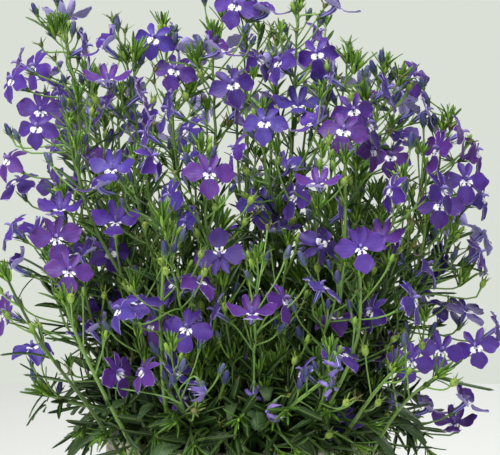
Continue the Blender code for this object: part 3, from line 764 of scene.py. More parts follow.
def tubeFinish():
    nodes = finish("stripedTube", Roughness=0.55, Sheen_Weight=0.2)
    ridge = nodes.attribute("ridge")
    colour = nodes.mixed(nodes.ramp(ridge, 0.75, 0.25), tubeLook["body"], tubeLook["stripe"])
    # Painted highlight along the ridge crests
    colour = nodes.over(colour, nodes.ramp(ridge, 0.85, 1.0), tubeLook["edge"])
    colour = nodes.mixed(tubeLook["tint"], colour, nodes.attribute("tint", "Color"))
    colour, height = nodes.mottled(colour, 0.20, 0.15, 300.0, 2500.0)
    return coat(nodes, colour, height, 0.3, 0.00006)


foliageLook = {"pale": "a6c25e", "rib": 0.55, "foot": 0.45, "dryTip": ("6b4a2c", 0.35)}


def foliageFinish():
    # Leaves, sepals, buds and capsules: each takes its own tint, paler on the midrib and at its foot
    nodes = finish("leafSkin", Roughness=0.42, Specular_IOR_Level=0.32)
    times, ramp, look = nodes.times, nodes.ramp, foliageLook
    tint, along = nodes.attribute("tint", "Color"), nodes.attribute("along")
    side = nodes.calc("ABSOLUTE", nodes.attribute("across"))
    rib = times(ramp(side, 0.28, 0.0), look["rib"])
    foot = times(ramp(along, 0.30, 0.0), look["foot"])
    colour = nodes.mixed(nodes.calc("MAXIMUM", rib, foot), tint, nodes.mixed(0.4, tint, look["pale"]))
    colour = nodes.over(colour, ramp(along, 0.86, 1.0), look["dryTip"])
    colour, height = nodes.mottled(colour, 0.35, 0.20, 220.0, 1800.0)
    return coat(nodes, colour, height, 0.4, 0.0001)


# ridge: a painted highlight along the crests of the stalk's ribs
stalkLook = {"ridge": ("a9c772", 0.30), "blush": ("5b3038", 0.25)}


def stalkFinish():
    nodes = finish("ribbedStalk", Roughness=0.40, Specular_IOR_Level=0.38)
    # Painted highlight along the ribs
    ridge = nodes.ramp(nodes.attribute("ridge"), 0.4, 1.0)
    colour = nodes.over(nodes.attribute("tint", "Color"), ridge, stalkLook["ridge"])
    colour, height = nodes.mottled(colour, 0.40, 0.15, 90.0, 1500.0)
    blush = nodes.ramp(nodes.noise(45.0, 1.0), 0.62, 0.78)
    return coat(nodes, nodes.over(colour, blush, stalkLook["blush"]), height, 0.35, 0.0001)


bladeLook = {"line": ("7d9c58", 0.38), "under": ("5f7a4c", 0.35), "veins": 46.0, "slant": 13.0}


def bladeFinish():
    # Broad leaves: sunken midrib and side veins, waxy skin, paler and duller underneath
    nodes = finish("broadLeaf", Specular_IOR_Level=0.35)
    calc, times, look = nodes.calc, nodes.times, bladeLook
    side = calc("ABSOLUTE", nodes.attribute("across"))
    along = nodes.attribute("along")
    slant = calc("SUBTRACT", times(along, look["veins"]), times(side, look["slant"]))
    veins = times(nodes.ramp(calc("SINE", slant), 0.84, 1.0), 0.6)
    line = calc("MAXIMUM", nodes.ramp(side, 0.13, 0.0), veins)
    colour = nodes.over(nodes.attribute("tint", "Color"), line, look["line"])
    colour = nodes.over(colour, nodes.attribute("under"), look["under"])
    colour, height = nodes.mottled(colour, 0.40, 0.20, 110.0, 1600.0)
    relief = calc("SUBTRACT", times(height, 0.25), line)
    return coat(nodes, colour, relief, 0.7, 0.0003, (height, 0.30, 0.28))


potLook = {
    "clay": "aaa591",
    "specks": ("57503f", 0.40),
    "lip": ("c9c5b5", 0.35),
    "damp": ("7e7a66", 0.35),
    "rings": 2400.0,
}


def potFinish():
    # Sand-grey stoneware: turning rings, dark specks and a paler band round the top of the rim
    nodes = finish("stoneware")
    calc, times, ramp, look = nodes.calc, nodes.times, nodes.ramp, potLook
    colour, height = nodes.mottled(look["clay"], 0.30, 0.14, 24.0, 700.0)
    level = nodes.parted(nodes.add("ShaderNodeTexCoord", {}, "Object"))[2]
    top = potShape["height"]
    masks = {
        "specks": ramp(nodes.noise(420.0, 1.0), 0.66, 0.72),
        "lip": ramp(level, top - 0.0035, top - 0.0005),
        "damp": times(ramp(nodes.noise(18.0, 3.0), 0.55, 0.75), ramp(level, 0.050, 0.004)),
    }
    for name, mask in masks.items():
        colour = nodes.over(colour, mask, look[name])
    rings = calc("SINE", times(level, look["rings"]))
    wander = times(nodes.noise(30.0, 1.0, (1.0, 1.0, 8.0)), 0.9)
    relief = calc("ADD", calc("MULTIPLY_ADD", rings, 0.22, height), wander)
    return coat(nodes, colour, relief, 0.6, 0.0005, (height, 0.25, 0.60))


def plainFinish(name, specular, colour, mottling, bump, rough):
    nodes = finish(name, Specular_IOR_Level=specular)
    colour, height = nodes.mottled(colour, *mottling)
    return coat(nodes, colour, height, *bump, (height, *rough))


# Meshes
def addMesh(name, points, faces, values={}, flat=()):
    # A smooth mesh with its per-point values; the faces numbered in flat stay flat
    mesh = bpy.data.meshes.new(name)
    mesh.from_pydata([tuple(p) for p in points], [], [tuple(f) for f in faces])
    smooth = np.ones(len(faces), bool)
    smooth[list(flat)] = False
    mesh.polygons.foreach_set("use_smooth", smooth)
    for key, numbers in values.items():
        numbers = np.asarray(numbers, float)
        kind, field = ("FLOAT_VECTOR", "vector") if numbers.ndim == 2 else ("FLOAT", "value")
        mesh.attributes.new(key, kind, "POINT").data.foreach_set(field, numbers.ravel())
    mesh.update()
    pointOutwards(mesh)
    return mesh


def pointOutwards(mesh):
    bm = bmesh.new()
    bm.from_mesh(mesh)
    bmesh.ops.recalc_face_normals(bm, faces=bm.faces)
    bm.to_mesh(mesh)
    bm.free()


def circle(sides):
    # The cosine and sine of each step round a circle
    turns = [math.tau * side / sides for side in range(sides)]
    return [(math.cos(turn), math.sin(turn)) for turn in turns]


def gridFaces(rows, columns, start=0, turned=False):
    # Two triangles a cell: both sheets of a blade are cut along the same diagonal, so they can't cross
    faces = []
    for row in range(rows - 1):
        for column in range(columns - 1):
            a = start + row * columns + column
            b, c, d = a + 1, a + columns + 1, a + columns
            for face in ((a, b, c), (a, c, d)):
                faces.append(face[::-1] if turned else face)
    return faces


def rimLoop(rows, columns):
    # The outer points of a grid, one after another round it
    loop = list(range(columns))
    loop += [row * columns + columns - 1 for row in range(1, rows)]
    loop += [(rows - 1) * columns + column for column in range(columns - 2, -1, -1)]
    loop += [row * columns for row in range(rows - 2, 0, -1)]
    return loop


def ringFaces(rings, sides):
    # The faces between rings of points that follow one another
    faces = []
    for ring in range(rings - 1):
        for side in range(sides):
            a, b = ring * sides + side, ring * sides + (side + 1) % sides
            faces.append((a, a + sides, b + sides, b))
    return faces


class Shape:
    # Points, faces and per-point values, to which parts are added one by one
    def __init__(self):
        self.points, self.faces, self.flat = [], [], []
        self.values = {}

    def add(self, points, faces, flat=(), **values):
        # A value that is given once is that of all the points, and one that isn't given is 0
        start = len(self.points)
        self.flat += [len(self.faces) + index for index in flat]
        self.points += [tuple(p) for p in points]
        self.faces += [tuple(start + corner for corner in face) for face in faces]
        for key in sorted({*self.values, *values}):
            blank = (0.0, 0.0, 0.0) if key in ("spot", "tint") else 0.0
            column = self.values.setdefault(key, [blank] * start)
            value = values.get(key, blank)
            column += [value] * len(points) if isinstance(value, (float, tuple)) else list(value)

    def sheet(self, top, normals, thickness, rows, columns, **values):
        # A thin closed blade: an upper and a lower grid joined round the rim
        count = rows * columns
        values["along"] = np.repeat(np.linspace(0, 1, rows), columns)
        values["across"] = np.tile(np.linspace(-1, 1, columns), rows)
        faces = gridFaces(rows, columns) + gridFaces(rows, columns, count, turned=True)
        loop = rimLoop(rows, columns)
        rim = [(here, here + count, nxt + count, nxt) for here, nxt in zip(loop, loop[1:] + loop[:1])]
        first = len(faces)
        doubled = {key: list(v) + list(v) for key, v in values.items()}
        doubled["under"] = [0.0] * count + [1.0] * count
        self.add(np.concatenate([top, top - normals * thickness]), faces + rim,
                 range(first, first + len(rim)), **doubled)

    def turned(self, profile, sides):
        # Rings about the Y axis with closed ends: profile holds distances along Y and radii
        points = [(radius * x, level, radius * z) for level, radius in profile for x, z in circle(sides)]
        last = (len(profile) - 1) * sides
        head = tuple(last + side for side in reversed(range(sides)))
        faces = [tuple(range(sides)), *ringFaces(len(profile), sides), head]
        self.add(points, faces, along=[point[1] / profile[-1][0] for point in points], across=1.0)

    def mesh(self, name):
        return addMesh(name, self.points, self.faces, self.values, self.flat)

    def made(self, name):
        return bpy.data.objects.new(name, self.mesh(name))


# One flower seen from its front: X to its right, Y towards the upper petals, Z out of its face, origin
# at the mouth of the tube
bloomShape = {
    "mouth": 0.0010,
    "lobe": {"length": 0.0084, "half": 0.0037, "foot": 0.0010},
    "ear": {"length": 0.0070, "half": 0.0015, "foot": 0.0007},
    "ripple": (0.00035, 0.0002),
    "thickness": 0.00022,
    "swell": 0.0007,
    "broadest": 0.62,  # share of a lobe's length where it is broadest
    "funnel": 0.0013,
}
# Kinds of bloom: angle, size, droop and cup of the lobes, then angle and lean of the upper petals
bloomKinds = [
    {"side": 88, "size": 1.00, "droop": 0.10, "cup": 0.10, "ear": 24, "lean": 0.15},
    {"side": 96, "size": 0.94, "droop": 0.25, "cup": 0.18, "ear": 30, "lean": 0.40},
    {"side": 80, "size": 1.04, "droop": -0.05, "cup": 0.06, "ear": 19, "lean": -0.05},
    {"side": 102, "size": 0.88, "droop": 0.45, "cup": 0.30, "ear": 36, "lean": 0.60},
    {"side": 90, "size": 0.98, "droop": 0.15, "cup": -0.14, "ear": 16, "lean": 0.30},
    {"side": 76, "size": 1.00, "droop": -0.36, "cup": -0.04, "ear": 20, "lean": -0.55},
]
kindShares = (0.30, 0.24, 0.16, 0.14, 0.16)
raisedBlooms = {"kind": 5, "share": 0.27, "lift": (48, 80)}  # degrees that they look up
antherRings = [((0, 0.0006, -0.0004), 0.0006), ((0, 0.0010, 0.0011), 0.00055),
               ((0, 0.0009, 0.0021), 0.0006), ((0, 0.0002, 0.0029), 0.0004)]


def addLobe(shape, angle, size, half, foot, droop, cup, ripple, rows, columns, upper):
    # An obovate lobe that widens from its foot to two thirds and ends round, with a tiny point
    turn = math.radians(angle)
    radial = np.array([math.sin(turn), math.cos(turn), 0.0])
    tangent = np.array([math.cos(turn), -math.sin(turn), 0.0])
    broadest = bloomShape["broadest"]
    points = []
    for row in range(rows):
        share = row / (rows - 1)
        if share < broadest:
            wide = foot + (half - foot) * math.sin(math.pi / 2 * share / broadest) ** 1.3
        else:
            wide = half * (1 - 0.42 * ((share - broadest) / 0.38) ** 2.2)
        for column in range(columns):
            across = 2 * column / (columns - 1) - 1
            point = 0.02 if row == rows - 1 and abs(across) < 0.3 else 0
            reach = bloomShape["mouth"] + size * (share - (0.15 * share ** 4 * across ** 2 - point))
            lift = -droop * size * share ** 2 + cup * size * across ** 2 * share
            lift += ripple * math.sin(5.0 * across + 7.0 * share + angle) * share
            if not upper:
                lift += bloomShape["swell"] * math.exp(-((share - 0.14) / 0.13) ** 2)
            points.append(radial * reach + tangent * wide * across + np.array([0, 0, lift]))
    points = np.array(points)
    spots = np.column_stack([points[:, 0] * 100, points[:, 1] * 100, np.full(len(points), float(upper))])
    shape.sheet(points, np.array([[0, 0, 1.0]]), bloomShape["thickness"], rows, columns, spot=spots)


def bloomTemplate(index, kind):
    shape = Shape()
    lobe, ear, size = bloomShape["lobe"], bloomShape["ear"], kind["size"]
    for number, angle in enumerate((kind["side"], 180, -kind["side"])):
        ripple = bloomShape["ripple"][0] * (1 + 0.4 * math.sin(index + number))
        addLobe(shape, angle, lobe["length"] * size, lobe["half"] * size, lobe["foot"],
                kind["droop"], kind["cup"], ripple, 7, 6, 0)
    for angle in (kind["ear"], -kind["ear"]):
        addLobe(shape, angle, ear["length"] * size, ear["half"], ear["foot"],
                kind["lean"], 0.15, bloomShape["ripple"][1], 6, 4, 1)
    # The lip's mouth: a shallow funnel that closes the tube
    points = [(x * bloomShape["funnel"], y * bloomShape["funnel"], 0.0) for y, x in circle(8)]
    points += [(0, -0.0004, -0.0002), (0, 0, -0.0010)]
    faces = [((i + 1) % 8, i, 8) for i in range(8)] + [(i, (i + 1) % 8, 9) for i in range(8)]
    shape.add(points, faces, spot=[(x * 100, y * 100, 0.4) for x, y, _ in points], along=0.05)
    # The column of anthers stands in the notch between the upper petals and nods over the mouth
    points = [(x + radius * right, y + radius * rise, z)
              for (x, y, z), radius in antherRings for right, rise in circle(5)]
    faces = ringFaces(len(antherRings), 5) + [tuple(range(4, -1, -1)), tuple(range(15, 20))]
    shape.add(points, faces, spot=(0.3, 0.3, 1.0), along=0.2, under=0.35)
    return shape.made(f"bloom_{index}")


def witheredTemplate(index):
    # A spent flower: its lobes hang folded and twisted round the dry tube
    shape = Shape()
    for number in range(4):
        droop = 0.55 + 0.5 * (number % 2)
        addLobe(shape, 90 * number + 25, 0.0034, 0.0009, 0.0006, droop, -0.9, 0.0006, 6, 4, 1)
    return shape.made(f"bloom_{index}")


def addAwl(shape, foot, out, length, half, curl):
    # A three-sided awl that starts at foot and points along out, bent up along Y
    foot, out = np.array(foot), np.array(out) / np.linalg.norm(out)
    side = np.cross(out, [0, 1.0, 0])
    side = side / max(1e-6, np.linalg.norm(side))
    flat = np.cross(side, out)
    points = []
    for share, wide in ((0.0, 0.8), (0.35, 1.0), (0.75, 0.55)):
        centre = foot + out * length * share + np.array([0, curl * length * share ** 2, 0])
        points += [centre + side * half * wide, centre - side * half * wide,
                   centre + flat * half * wide * 0.6]
    points.append(foot + out * length + np.array([0, curl * length, 0]))
    faces = [(0, 1, 2)] + ringFaces(3, 3) + [(6 + edge, 9, 6 + (edge + 1) % 3) for edge in range(3)]
    shape.add(points, faces, along=[0.1] * 3 + [0.45] * 3 + [0.8] * 3 + [1.0], across=0.5)


leafKinds = [(0.9, 0.10), (1.4, -0.05), (1.0, 0.30)]  # where it is broadest, and its curl
leafStations = (0.0, 0.16, 0.42, 0.70, 0.92)


def leafTemplate(index, peak, curl):
    # A linear leaf of unit length and half width, along Y, with a keel under it
    shape = Shape()
    points = []
    for share in leafStations:
        wide = 0.16 + 0.84 * math.sin(math.pi * min(1.0, share ** peak)) ** 0.8
        droop = -curl * share ** 2
        points += [(wide, share, droop + 0.012), (0, share, droop), (-wide, share, droop + 0.012),
                   (0, share, droop - 0.030)]
    points.append((0, 1.0, -curl))
    last = (len(leafStations) - 1) * 4
    faces = [(0, 1, 2, 3)] + ringFaces(len(leafStations), 4)
    faces += [(last + edge, last + 4, last + (edge + 1) % 4) for edge in range(4)]
    shape.add(points, faces, along=[point[1] for point in points],
              across=[1.0, 0.0, -1.0, 0.0] * len(leafStations) + [0.0])
    return shape.made(f"green_{index}")


sepal = {"count": 5, "half": 0.00042, "foot": 0.0015, "curl": 0.08}


def calyxTemplate(index, cup, spread, length):
    # A small cup with five awl-shaped sepals; spread is how far they stand out
    shape = Shape()
    shape.turned([(-0.0004, 0.0003), (0.0002, 0.0007), (0.0014, cup), (0.0019, cup * 0.9)], 6)
    for number in range(sepal["count"]):
        turn = math.tau * (number + 0.5) / sepal["count"]
        side = np.array([math.cos(turn), 0.0, math.sin(turn)])
        foot = side * cup * 0.85 + np.array([0, sepal["foot"], 0])
        addAwl(shape, foot, side * spread + np.array([0, 1.0, 0]), length, sepal["half"], sepal["curl"])
    return shape.made(f"green_{index}")


def shapeBox(name, things):
    box = bpy.data.collections.new(name)
    for thing in things:
        box.objects.link(thing)
    return box


# What grows on a green piece, by its number in the box of green shapes
greenKinds = {"leaf": (0, 1, 2), "calyx": 3, "star": 4, "bud": 5, "knob": 6, "capsule": 7}
calyxForms = {"calyx": (0.00105, 0.55, 0.0040), "star": (0.00120, 1.60, 0.0036)}
# Profiles of unit length: distance from the foot and radius
budProfiles = {
    "bud": [(0, 0.10), (0.14, 0.20), (0.36, 0.23), (0.62, 0.19), (0.86, 0.15), (0.97, 0.08),
            (1.0, 0.02)],
    "knob": [(0, 0.16), (0.20, 0.30), (0.50, 0.34), (0.80, 0.22), (1.0, 0.04)],
    "capsule": [(0, 0.12), (0.14, 0.26), (0.42, 0.36), (0.72, 0.33), (0.92, 0.20), (1.0, 0.05)],
}


def greenShapes():
    things = [leafTemplate(i, peak, curl) for i, (peak, curl) in enumerate(leafKinds)]
    things += [calyxTemplate(greenKinds[name], *form) for name, form in calyxForms.items()]
    for name, profile in budProfiles.items():
        shape = Shape()
        shape.turned(profile, 6)
        things.append(shape.made(f"green_{greenKinds[name]}"))
    return shapeBox("greenShapes", things)


def bloomShapes():
    things = [bloomTemplate(i, kind) for i, kind in enumerate(bloomKinds)]
    things.append(witheredTemplate(len(bloomKinds)))
    return shapeBox("bloomShapes", things)


def growthTree():
    # Stalks along chains of points, and shapes out of a box on the single points between them
    nodes, given, result = newTree(
        "growth", "GeometryNodeTree",
        {"Source": "Geometry", "Shapes": "Collection", "Ribs": "Int", "Furrow": "Float",
         "Stalk Finish": "Material", "Shape Finish": "Material"}, {"Grown": "Geometry"})
    add = nodes.add

    def named(name, kind):
        return add("GeometryNodeInputNamedAttribute", {"Name": name}, "Attribute", data_type=kind)

    star = add("GeometryNodeCurveStar", {"Points": given["Ribs"], "Inner Radius": given["Furrow"],
                                         "Outer Radius": 1.0}, "Curve")
    ridge = add("GeometryNodeStoreNamedAttribute",
                {"Geometry": star, "Name": "ridge", "Value": star.node.outputs["Outer Points"]},
                "Geometry", data_type="FLOAT", domain="POINT")
    chain = add("GeometryNodeMeshToCurve", {"Mesh": given["Source"]}, "Curve")
    stalk = add("GeometryNodeCurveToMesh", {"Curve": chain, "Profile Curve": ridge,
                                            "Scale": named("thick", "FLOAT"), "Fill Caps": True}, "Mesh")
    stalks = nodes.painted(add("GeometryNodeSetShadeSmooth", {"Geometry": stalk}), given["Stalk Finish"])
    box = add("GeometryNodeCollectionInfo", {"Collection": given["Shapes"], "Separate Children": True,
                                             "Reset Children": True}, "Instances")
    shapes = nodes.copies(given["Shape Finish"], {
        "Points": given["Source"], "Selection": named("single", "BOOLEAN"), "Instance": box,
        "Pick Instance": True, "Instance Index": named("kind", "INT"),
        "Rotation": named("turn", "QUATERNION"), "Scale": named("size", "FLOAT_VECTOR")})
    both = add("GeometryNodeJoinGeometry", {"Geometry": stalks})
    nodes.feed(both.node.inputs["Geometry"], shapes)
    nodes.feed(result["Grown"], both)
    return nodes.tree


def turnOf(direction, upper):
    # The turn that takes Y to direction and Z as near to upper as it can
    direction = unit(np.asarray(direction, float))
    upper = np.asarray(upper, float)
    normal = upper - direction * np.dot(upper, direction)
    if np.linalg.norm(normal) < 1e-6:
        normal = np.cross(direction, [1.0, 0.3, 0.2])
    normal = unit(normal)
    side = np.cross(direction, normal)
    return Matrix(np.column_stack([side, direction, normal]).tolist()).to_quaternion()


class Sprouts:
    # What one piece is grown from: chains of points for stalks, single points for shapes
    kinds = {"thick": "FLOAT", "tint": "FLOAT_VECTOR", "single": "BOOLEAN", "kind": "INT",
             "turn": "QUATERNION", "size": "FLOAT_VECTOR"}

    def __init__(self):
        self.points, self.edges = [], []
        self.rows = {key: [] for key in self.kinds}

    def row(self, place, *values):
        self.points.append(tuple(place))
        for key, value in zip(self.rows, values):
            self.rows[key].append(value)

    def stalk(self, path, thickness, tint):
        # thickness is one radius for each point, or the first and the last
        if len(thickness) == 2:
            thickness = np.linspace(*thickness, len(path))
        for number, (place, radius) in enumerate(zip(path, thickness)):
            if number:
                self.edges.append((len(self.points) - 1, len(self.points)))
            self.row(place, radius, tint, False, 0, (1, 0, 0, 0), (1, 1, 1))

    def stem(self, path, count, thickness, tint):
        # A stalk along the path, through that many points
        self.stalk(atLength(path, np.linspace(0, lengths(path)[-1], count)), thickness, tint)

    def part(self, kind, place, turn, size, tint):
        size = (size, size, size) if np.isscalar(size) else tuple(size)
        self.row(place, 0.0, tint, True, kind, tuple(turn), size)

    def source(self, name):
        mesh = bpy.data.meshes.new(name)
        mesh.from_pydata(self.points, self.edges, [])
        for key, kind in self.kinds.items():
            field = "vector" if kind == "FLOAT_VECTOR" else "value"
            column = np.asarray(self.rows[key]).ravel()
            mesh.attributes.new(key, kind, "POINT").data.foreach_set(field, column)
        return mesh


growing = []


def plant(name, source, tree, settings):
    # A piece with its source and its modifier; harvest makes all of them plain meshes
    piece = stand(name, source)
    maker = piece.modifiers.new("grow", "NODES")
    maker.node_group = tree
    for item in tree.interface.items_tree:
        if item.in_out == "INPUT" and item.name in settings:
            maker[item.identifier] = settings[item.name]
    growing.append(piece)
    return piece


def harvest():
    scene = bpy.context.evaluated_depsgraph_get()
    total = 0
    for piece in growing:
        grown = bpy.data.meshes.new_from_object(piece.evaluated_get(scene))
        piece.modifiers.clear()
        piece.data = grown
        for key in [*Sprouts.kinds, "Instance Index"]:
            layer = grown.attributes.get(key)
            if layer and key != "tint":
                grown.attributes.remove(layer)
        total += sum(len(face.vertices) - 2 for face in grown.polygons)
    print("grown pieces:", len(growing), "triangles:", total)


# Colours for stalks, leaves, buds and petals
# stalkDark and leafDark are the tones of stalks and leaves in shade, and stalkPale that of lit stalks:
# where a tint is blended between them by a part's place, light and shade are painted into it, and
# elsewhere the blend only varies the tone at random
tints = {
    "stalk": "4f7331", "stalkPale": "7ba04e", "stalkDark": "233a1a",
    "leaf": "345b1e", "leafDark": "1c3314", "leafFresh": "759f34",
    "sepal": "58793a", "star": "6d6f3c", "budBlue": "31306a", "budGrey": "565c80", "budGreen": "87a845",
    "capsule": "93ad4c", "blade": "16300f", "bladeGrey": "274323",
}
tints = {name: np.array(shade(code)) for name, code in tints.items()}
petalCodes = ("421d80", "491e80", "521e7c", "3c2888", "381a74", "462286")
petalTints = [np.array(shade(code)) * 0.94 for code in petalCodes]
witheredTints = [np.array(shade(code)) for code in ("7462ae", "5e4a8c", "8c7cc0")]
# Where painted shade deepens: towards the foot and the middle of the plant
light = {"from": 0.105, "rise": 0.13, "radius": 0.095, "weight": 0.55}


def paintedLightShare(place):
    # How much light is painted into a part's colour: 0 deep inside the plant, where its colour is
    # painted darkest as shade, and 1 on its outer, upper leaves
    radius = math.hypot(place[0], place[1])
    height = (place[2] - light["from"]) / light["rise"] * light["weight"]
    return float(np.clip(height + radius / light["radius"] * light["weight"], 0, 1))


def blendTint(first, second, share):
    return tints[first] * (1 - share) + tints[second] * share


def between(pair, dice):
    low, high = pair
    return low + (high - low) * dice.random()


def pick(choices, dice):
    return choices[int(dice.integers(len(choices)))]


def crossOf(along):
    # Two directions square to the stalk and to each other
    first = unit(np.cross(along, [0.31, 1.0, 0.07]))
    return first, np.cross(along, first)


def sideways(along, degrees):
    first, second = crossOf(along)
    turn = math.radians(degrees)
    return first * math.cos(turn) + second * math.sin(turn)


def headingAt(path, s):
    total = lengths(path)[-1]
    return unit(atLength(path, min(total, s + 0.001)) - atLength(path, max(0.0, s - 0.001)))


def nodeOn(path, s, number, dice):
    # Where the next thing grows on a path: its place, the heading there and its turn about the path
    return atLength(path, s), headingAt(path, s), goldenTurn * number + 360 * dice.random()


leafShape = {
    "stemSpacing": 0.0056,
    "stemLength": (0.007, 0.019),
    "stemHalf": (0.0006, 0.0013),
    "lowSpread": 1.5,  # how much broader the lowest leaves are
    "mottle": (0.80, 1.20),
    "bractLength": (0.004, 0.009),
    "crownLength": (0.011, 0.015),  # of the leaves round a tip that has no flowers
}
twigShape = {
    "count": 5,
    "reach": (0.016, 0.050),
    "radii": (0.00055, 0.00035),
    "margin": 0.003,  # how far inside the plant's box the twigs stay
    "front": -0.048,  # they end behind the flowers in front of this
}
tuftShape = {"lean": 0.16, "opening": 0.50, "half": (0.055, 0.00022), "knob": 0.26, "drop": 0.10}


def addLeaf(sprouts, place, along, degrees, lean, length, half, tint, dice):
    out = sideways(along, degrees)
    direction = along * math.cos(lean) + out * math.sin(lean)
    kind = pick(greenKinds["leaf"], dice)
    tint = tint * between(leafShape["mottle"], dice)
    sprouts.part(kind, place + out * 0.0003, turnOf(direction, along), (half, length, length), tint)


def addTuft(sprouts, path, size, dice, leaves=11, knobs=5, along=None):
    # A growing point: narrow fresh leaves that close round a few green buds
    look, tip = tuftShape, path[-1]
    if along is None:
        along = headingAt(path, lengths(path)[-1])
    for number in range(leaves):
        share = number / leaves
        lean = look["lean"] + look["opening"] * (1 - share) * between((0.6, 1.4), dice)
        length = size * (0.8 + 0.7 * (1 - share)) * between((0.85, 1.15), dice)
        tint = blendTint("leaf", "leafFresh", 0.20 + 0.65 * share * dice.random())
        addLeaf(sprouts, tip - along * size * 0.35 * (1 - share), along, goldenTurn * number,
                lean, length, length * look["half"][0] + look["half"][1], tint, dice)
    for number in range(knobs):
        out = sideways(along, goldenTurn * number + 40)
        direction = unit(along + out * between((0.25, 0.60), dice))
        place = tip + out * size * look["drop"] - along * size * look["drop"] * number
        long, wide = size * between((0.45, 0.70), dice), size * look["knob"]
        sprouts.part(greenKinds["knob"], place, turnOf(direction, out), (wide, long, wide),
                     blendTint("leafFresh", "budGreen", dice.random()))


fruitSizes = {"bud": (0.0042, 0.0068), "green": (0.0034, 0.0048), "star": (0.85, 1.15),
              "capsule": (0.0034, 0.0045)}


def addFruit(sprouts, kind, place, direction, dice):
    # What stands at the end of a pedicel: a bud, a bare star of sepals or a ripening capsule
    turn = turnOf(direction, up)
    size = between(fruitSizes[kind], dice)
    calyx, bud = greenKinds["calyx"], greenKinds["bud"]
    if kind == "bud":
        colour = blendTint("budBlue", "budGrey", dice.random())
        sprouts.part(calyx, place, turn, 0.9, tints["sepal"])
        sprouts.part(bud, place + direction * 0.0008, turn, size, colour)
    elif kind == "green":
        sprouts.part(calyx, place, turn, 0.8, blendTint("sepal", "leafFresh", 0.5))
        sprouts.part(bud, place + direction * 0.0008, turn, size, tints["budGreen"])
    elif kind == "star":
        sprouts.part(greenKinds["star"], place, turn, size, blendTint("star", "sepal", dice.random()))
    else:
        colour = blendTint("capsule", "sepal", 0.6 * dice.random())
        sprouts.part(greenKinds["capsule"], place, turn, size, colour)
        sprouts.part(calyx, place + direction * size * 0.35, turn, 0.85, colour * 0.75)


pedicelShape = {"stops": (0, 0.35, 0.85, 1), "radii": (0.00042, 0.00034, 0.00034, 0.00048), "rings": 8}


def addPedicel(sprouts, path, tint):
    total = lengths(path)[-1]
    stops = np.linspace(0, total, pedicelShape["rings"])
    radii = np.interp(stops / total, pedicelShape["stops"], pedicelShape["radii"])
    sprouts.stalk(atLength(path, stops), radii, tint)


outlineShape = {"step": 10, "reach": 20, "inside": 10}


def outlineOf(shoots):
    # The plant's upper edge in the photograph's pixels, from its blooms and the tips of its racemes
    places = [bloom["throat"] for shoot in shoots.values() for bloom in shoot["blooms"]]
    places += [shoot["path"][-1] for shoot in shoots.values() if shoot["path"] is not None]
    u, v = pixelsOf(np.array(places))
    columns = np.arange(0, photo["widthPx"] + 1, outlineShape["step"])
    near = [np.abs(u - column) < outlineShape["reach"] for column in columns]
    return columns, np.array([v[hits].min() if hits.any() else photo["heightPx"] for hits in near])


def inside(place, front=-1.0):
    # Whether a tip stays within the plant's box, under its outline and behind the front flowers
    if place[1] < front:
        return False
    margin = twigShape["margin"]
    u, v = pixelsOf(np.asarray(place)[None])
    under = v[0] > np.interp(u[0], *outline) + outlineShape["inside"]
    return under and all(low + margin < value < high - margin for low, value, high in
                         zip(cadBox[0], place, cadBox[1]))


def addSpray(sprouts, start, along, degrees, reach, lean, kind, dice):
    # A pedicel out of a stalk, that turns up to its bud or capsule
    out = sideways(along, degrees)
    direction = unit(along * math.cos(lean) + out * math.sin(lean))
    for _ in range(4):
        end = start + direction * reach + up * 0.15 * reach
        if inside(end):
            break
        reach = reach * 0.6
    path = bezier(start, start + direction * reach * 0.4, end - unit(direction + up) * reach * 0.3,
                  end, 20)
    # Painted light: the pedicel is paler where its end is lit
    addPedicel(sprouts, path, blendTint("stalk", "stalkPale", paintedLightShare(end)))
    addFruit(sprouts, kind, end, unit(path[-1] - path[-3]), dice)


racemeShape = {
    "zigzag": 0.00025,
    "bends": 420.0,
    "radii": (0.00062, 0.00042),
    "rings": 24,
    "sprays": 6,
    "sprayPlace": (0.06, 0.72),
    "sprayReach": (0.010, 0.024),
    "sprayLean": (0.6, 1.0),
    "tipSprays": 4,
    "tuft": 0.0060,
}


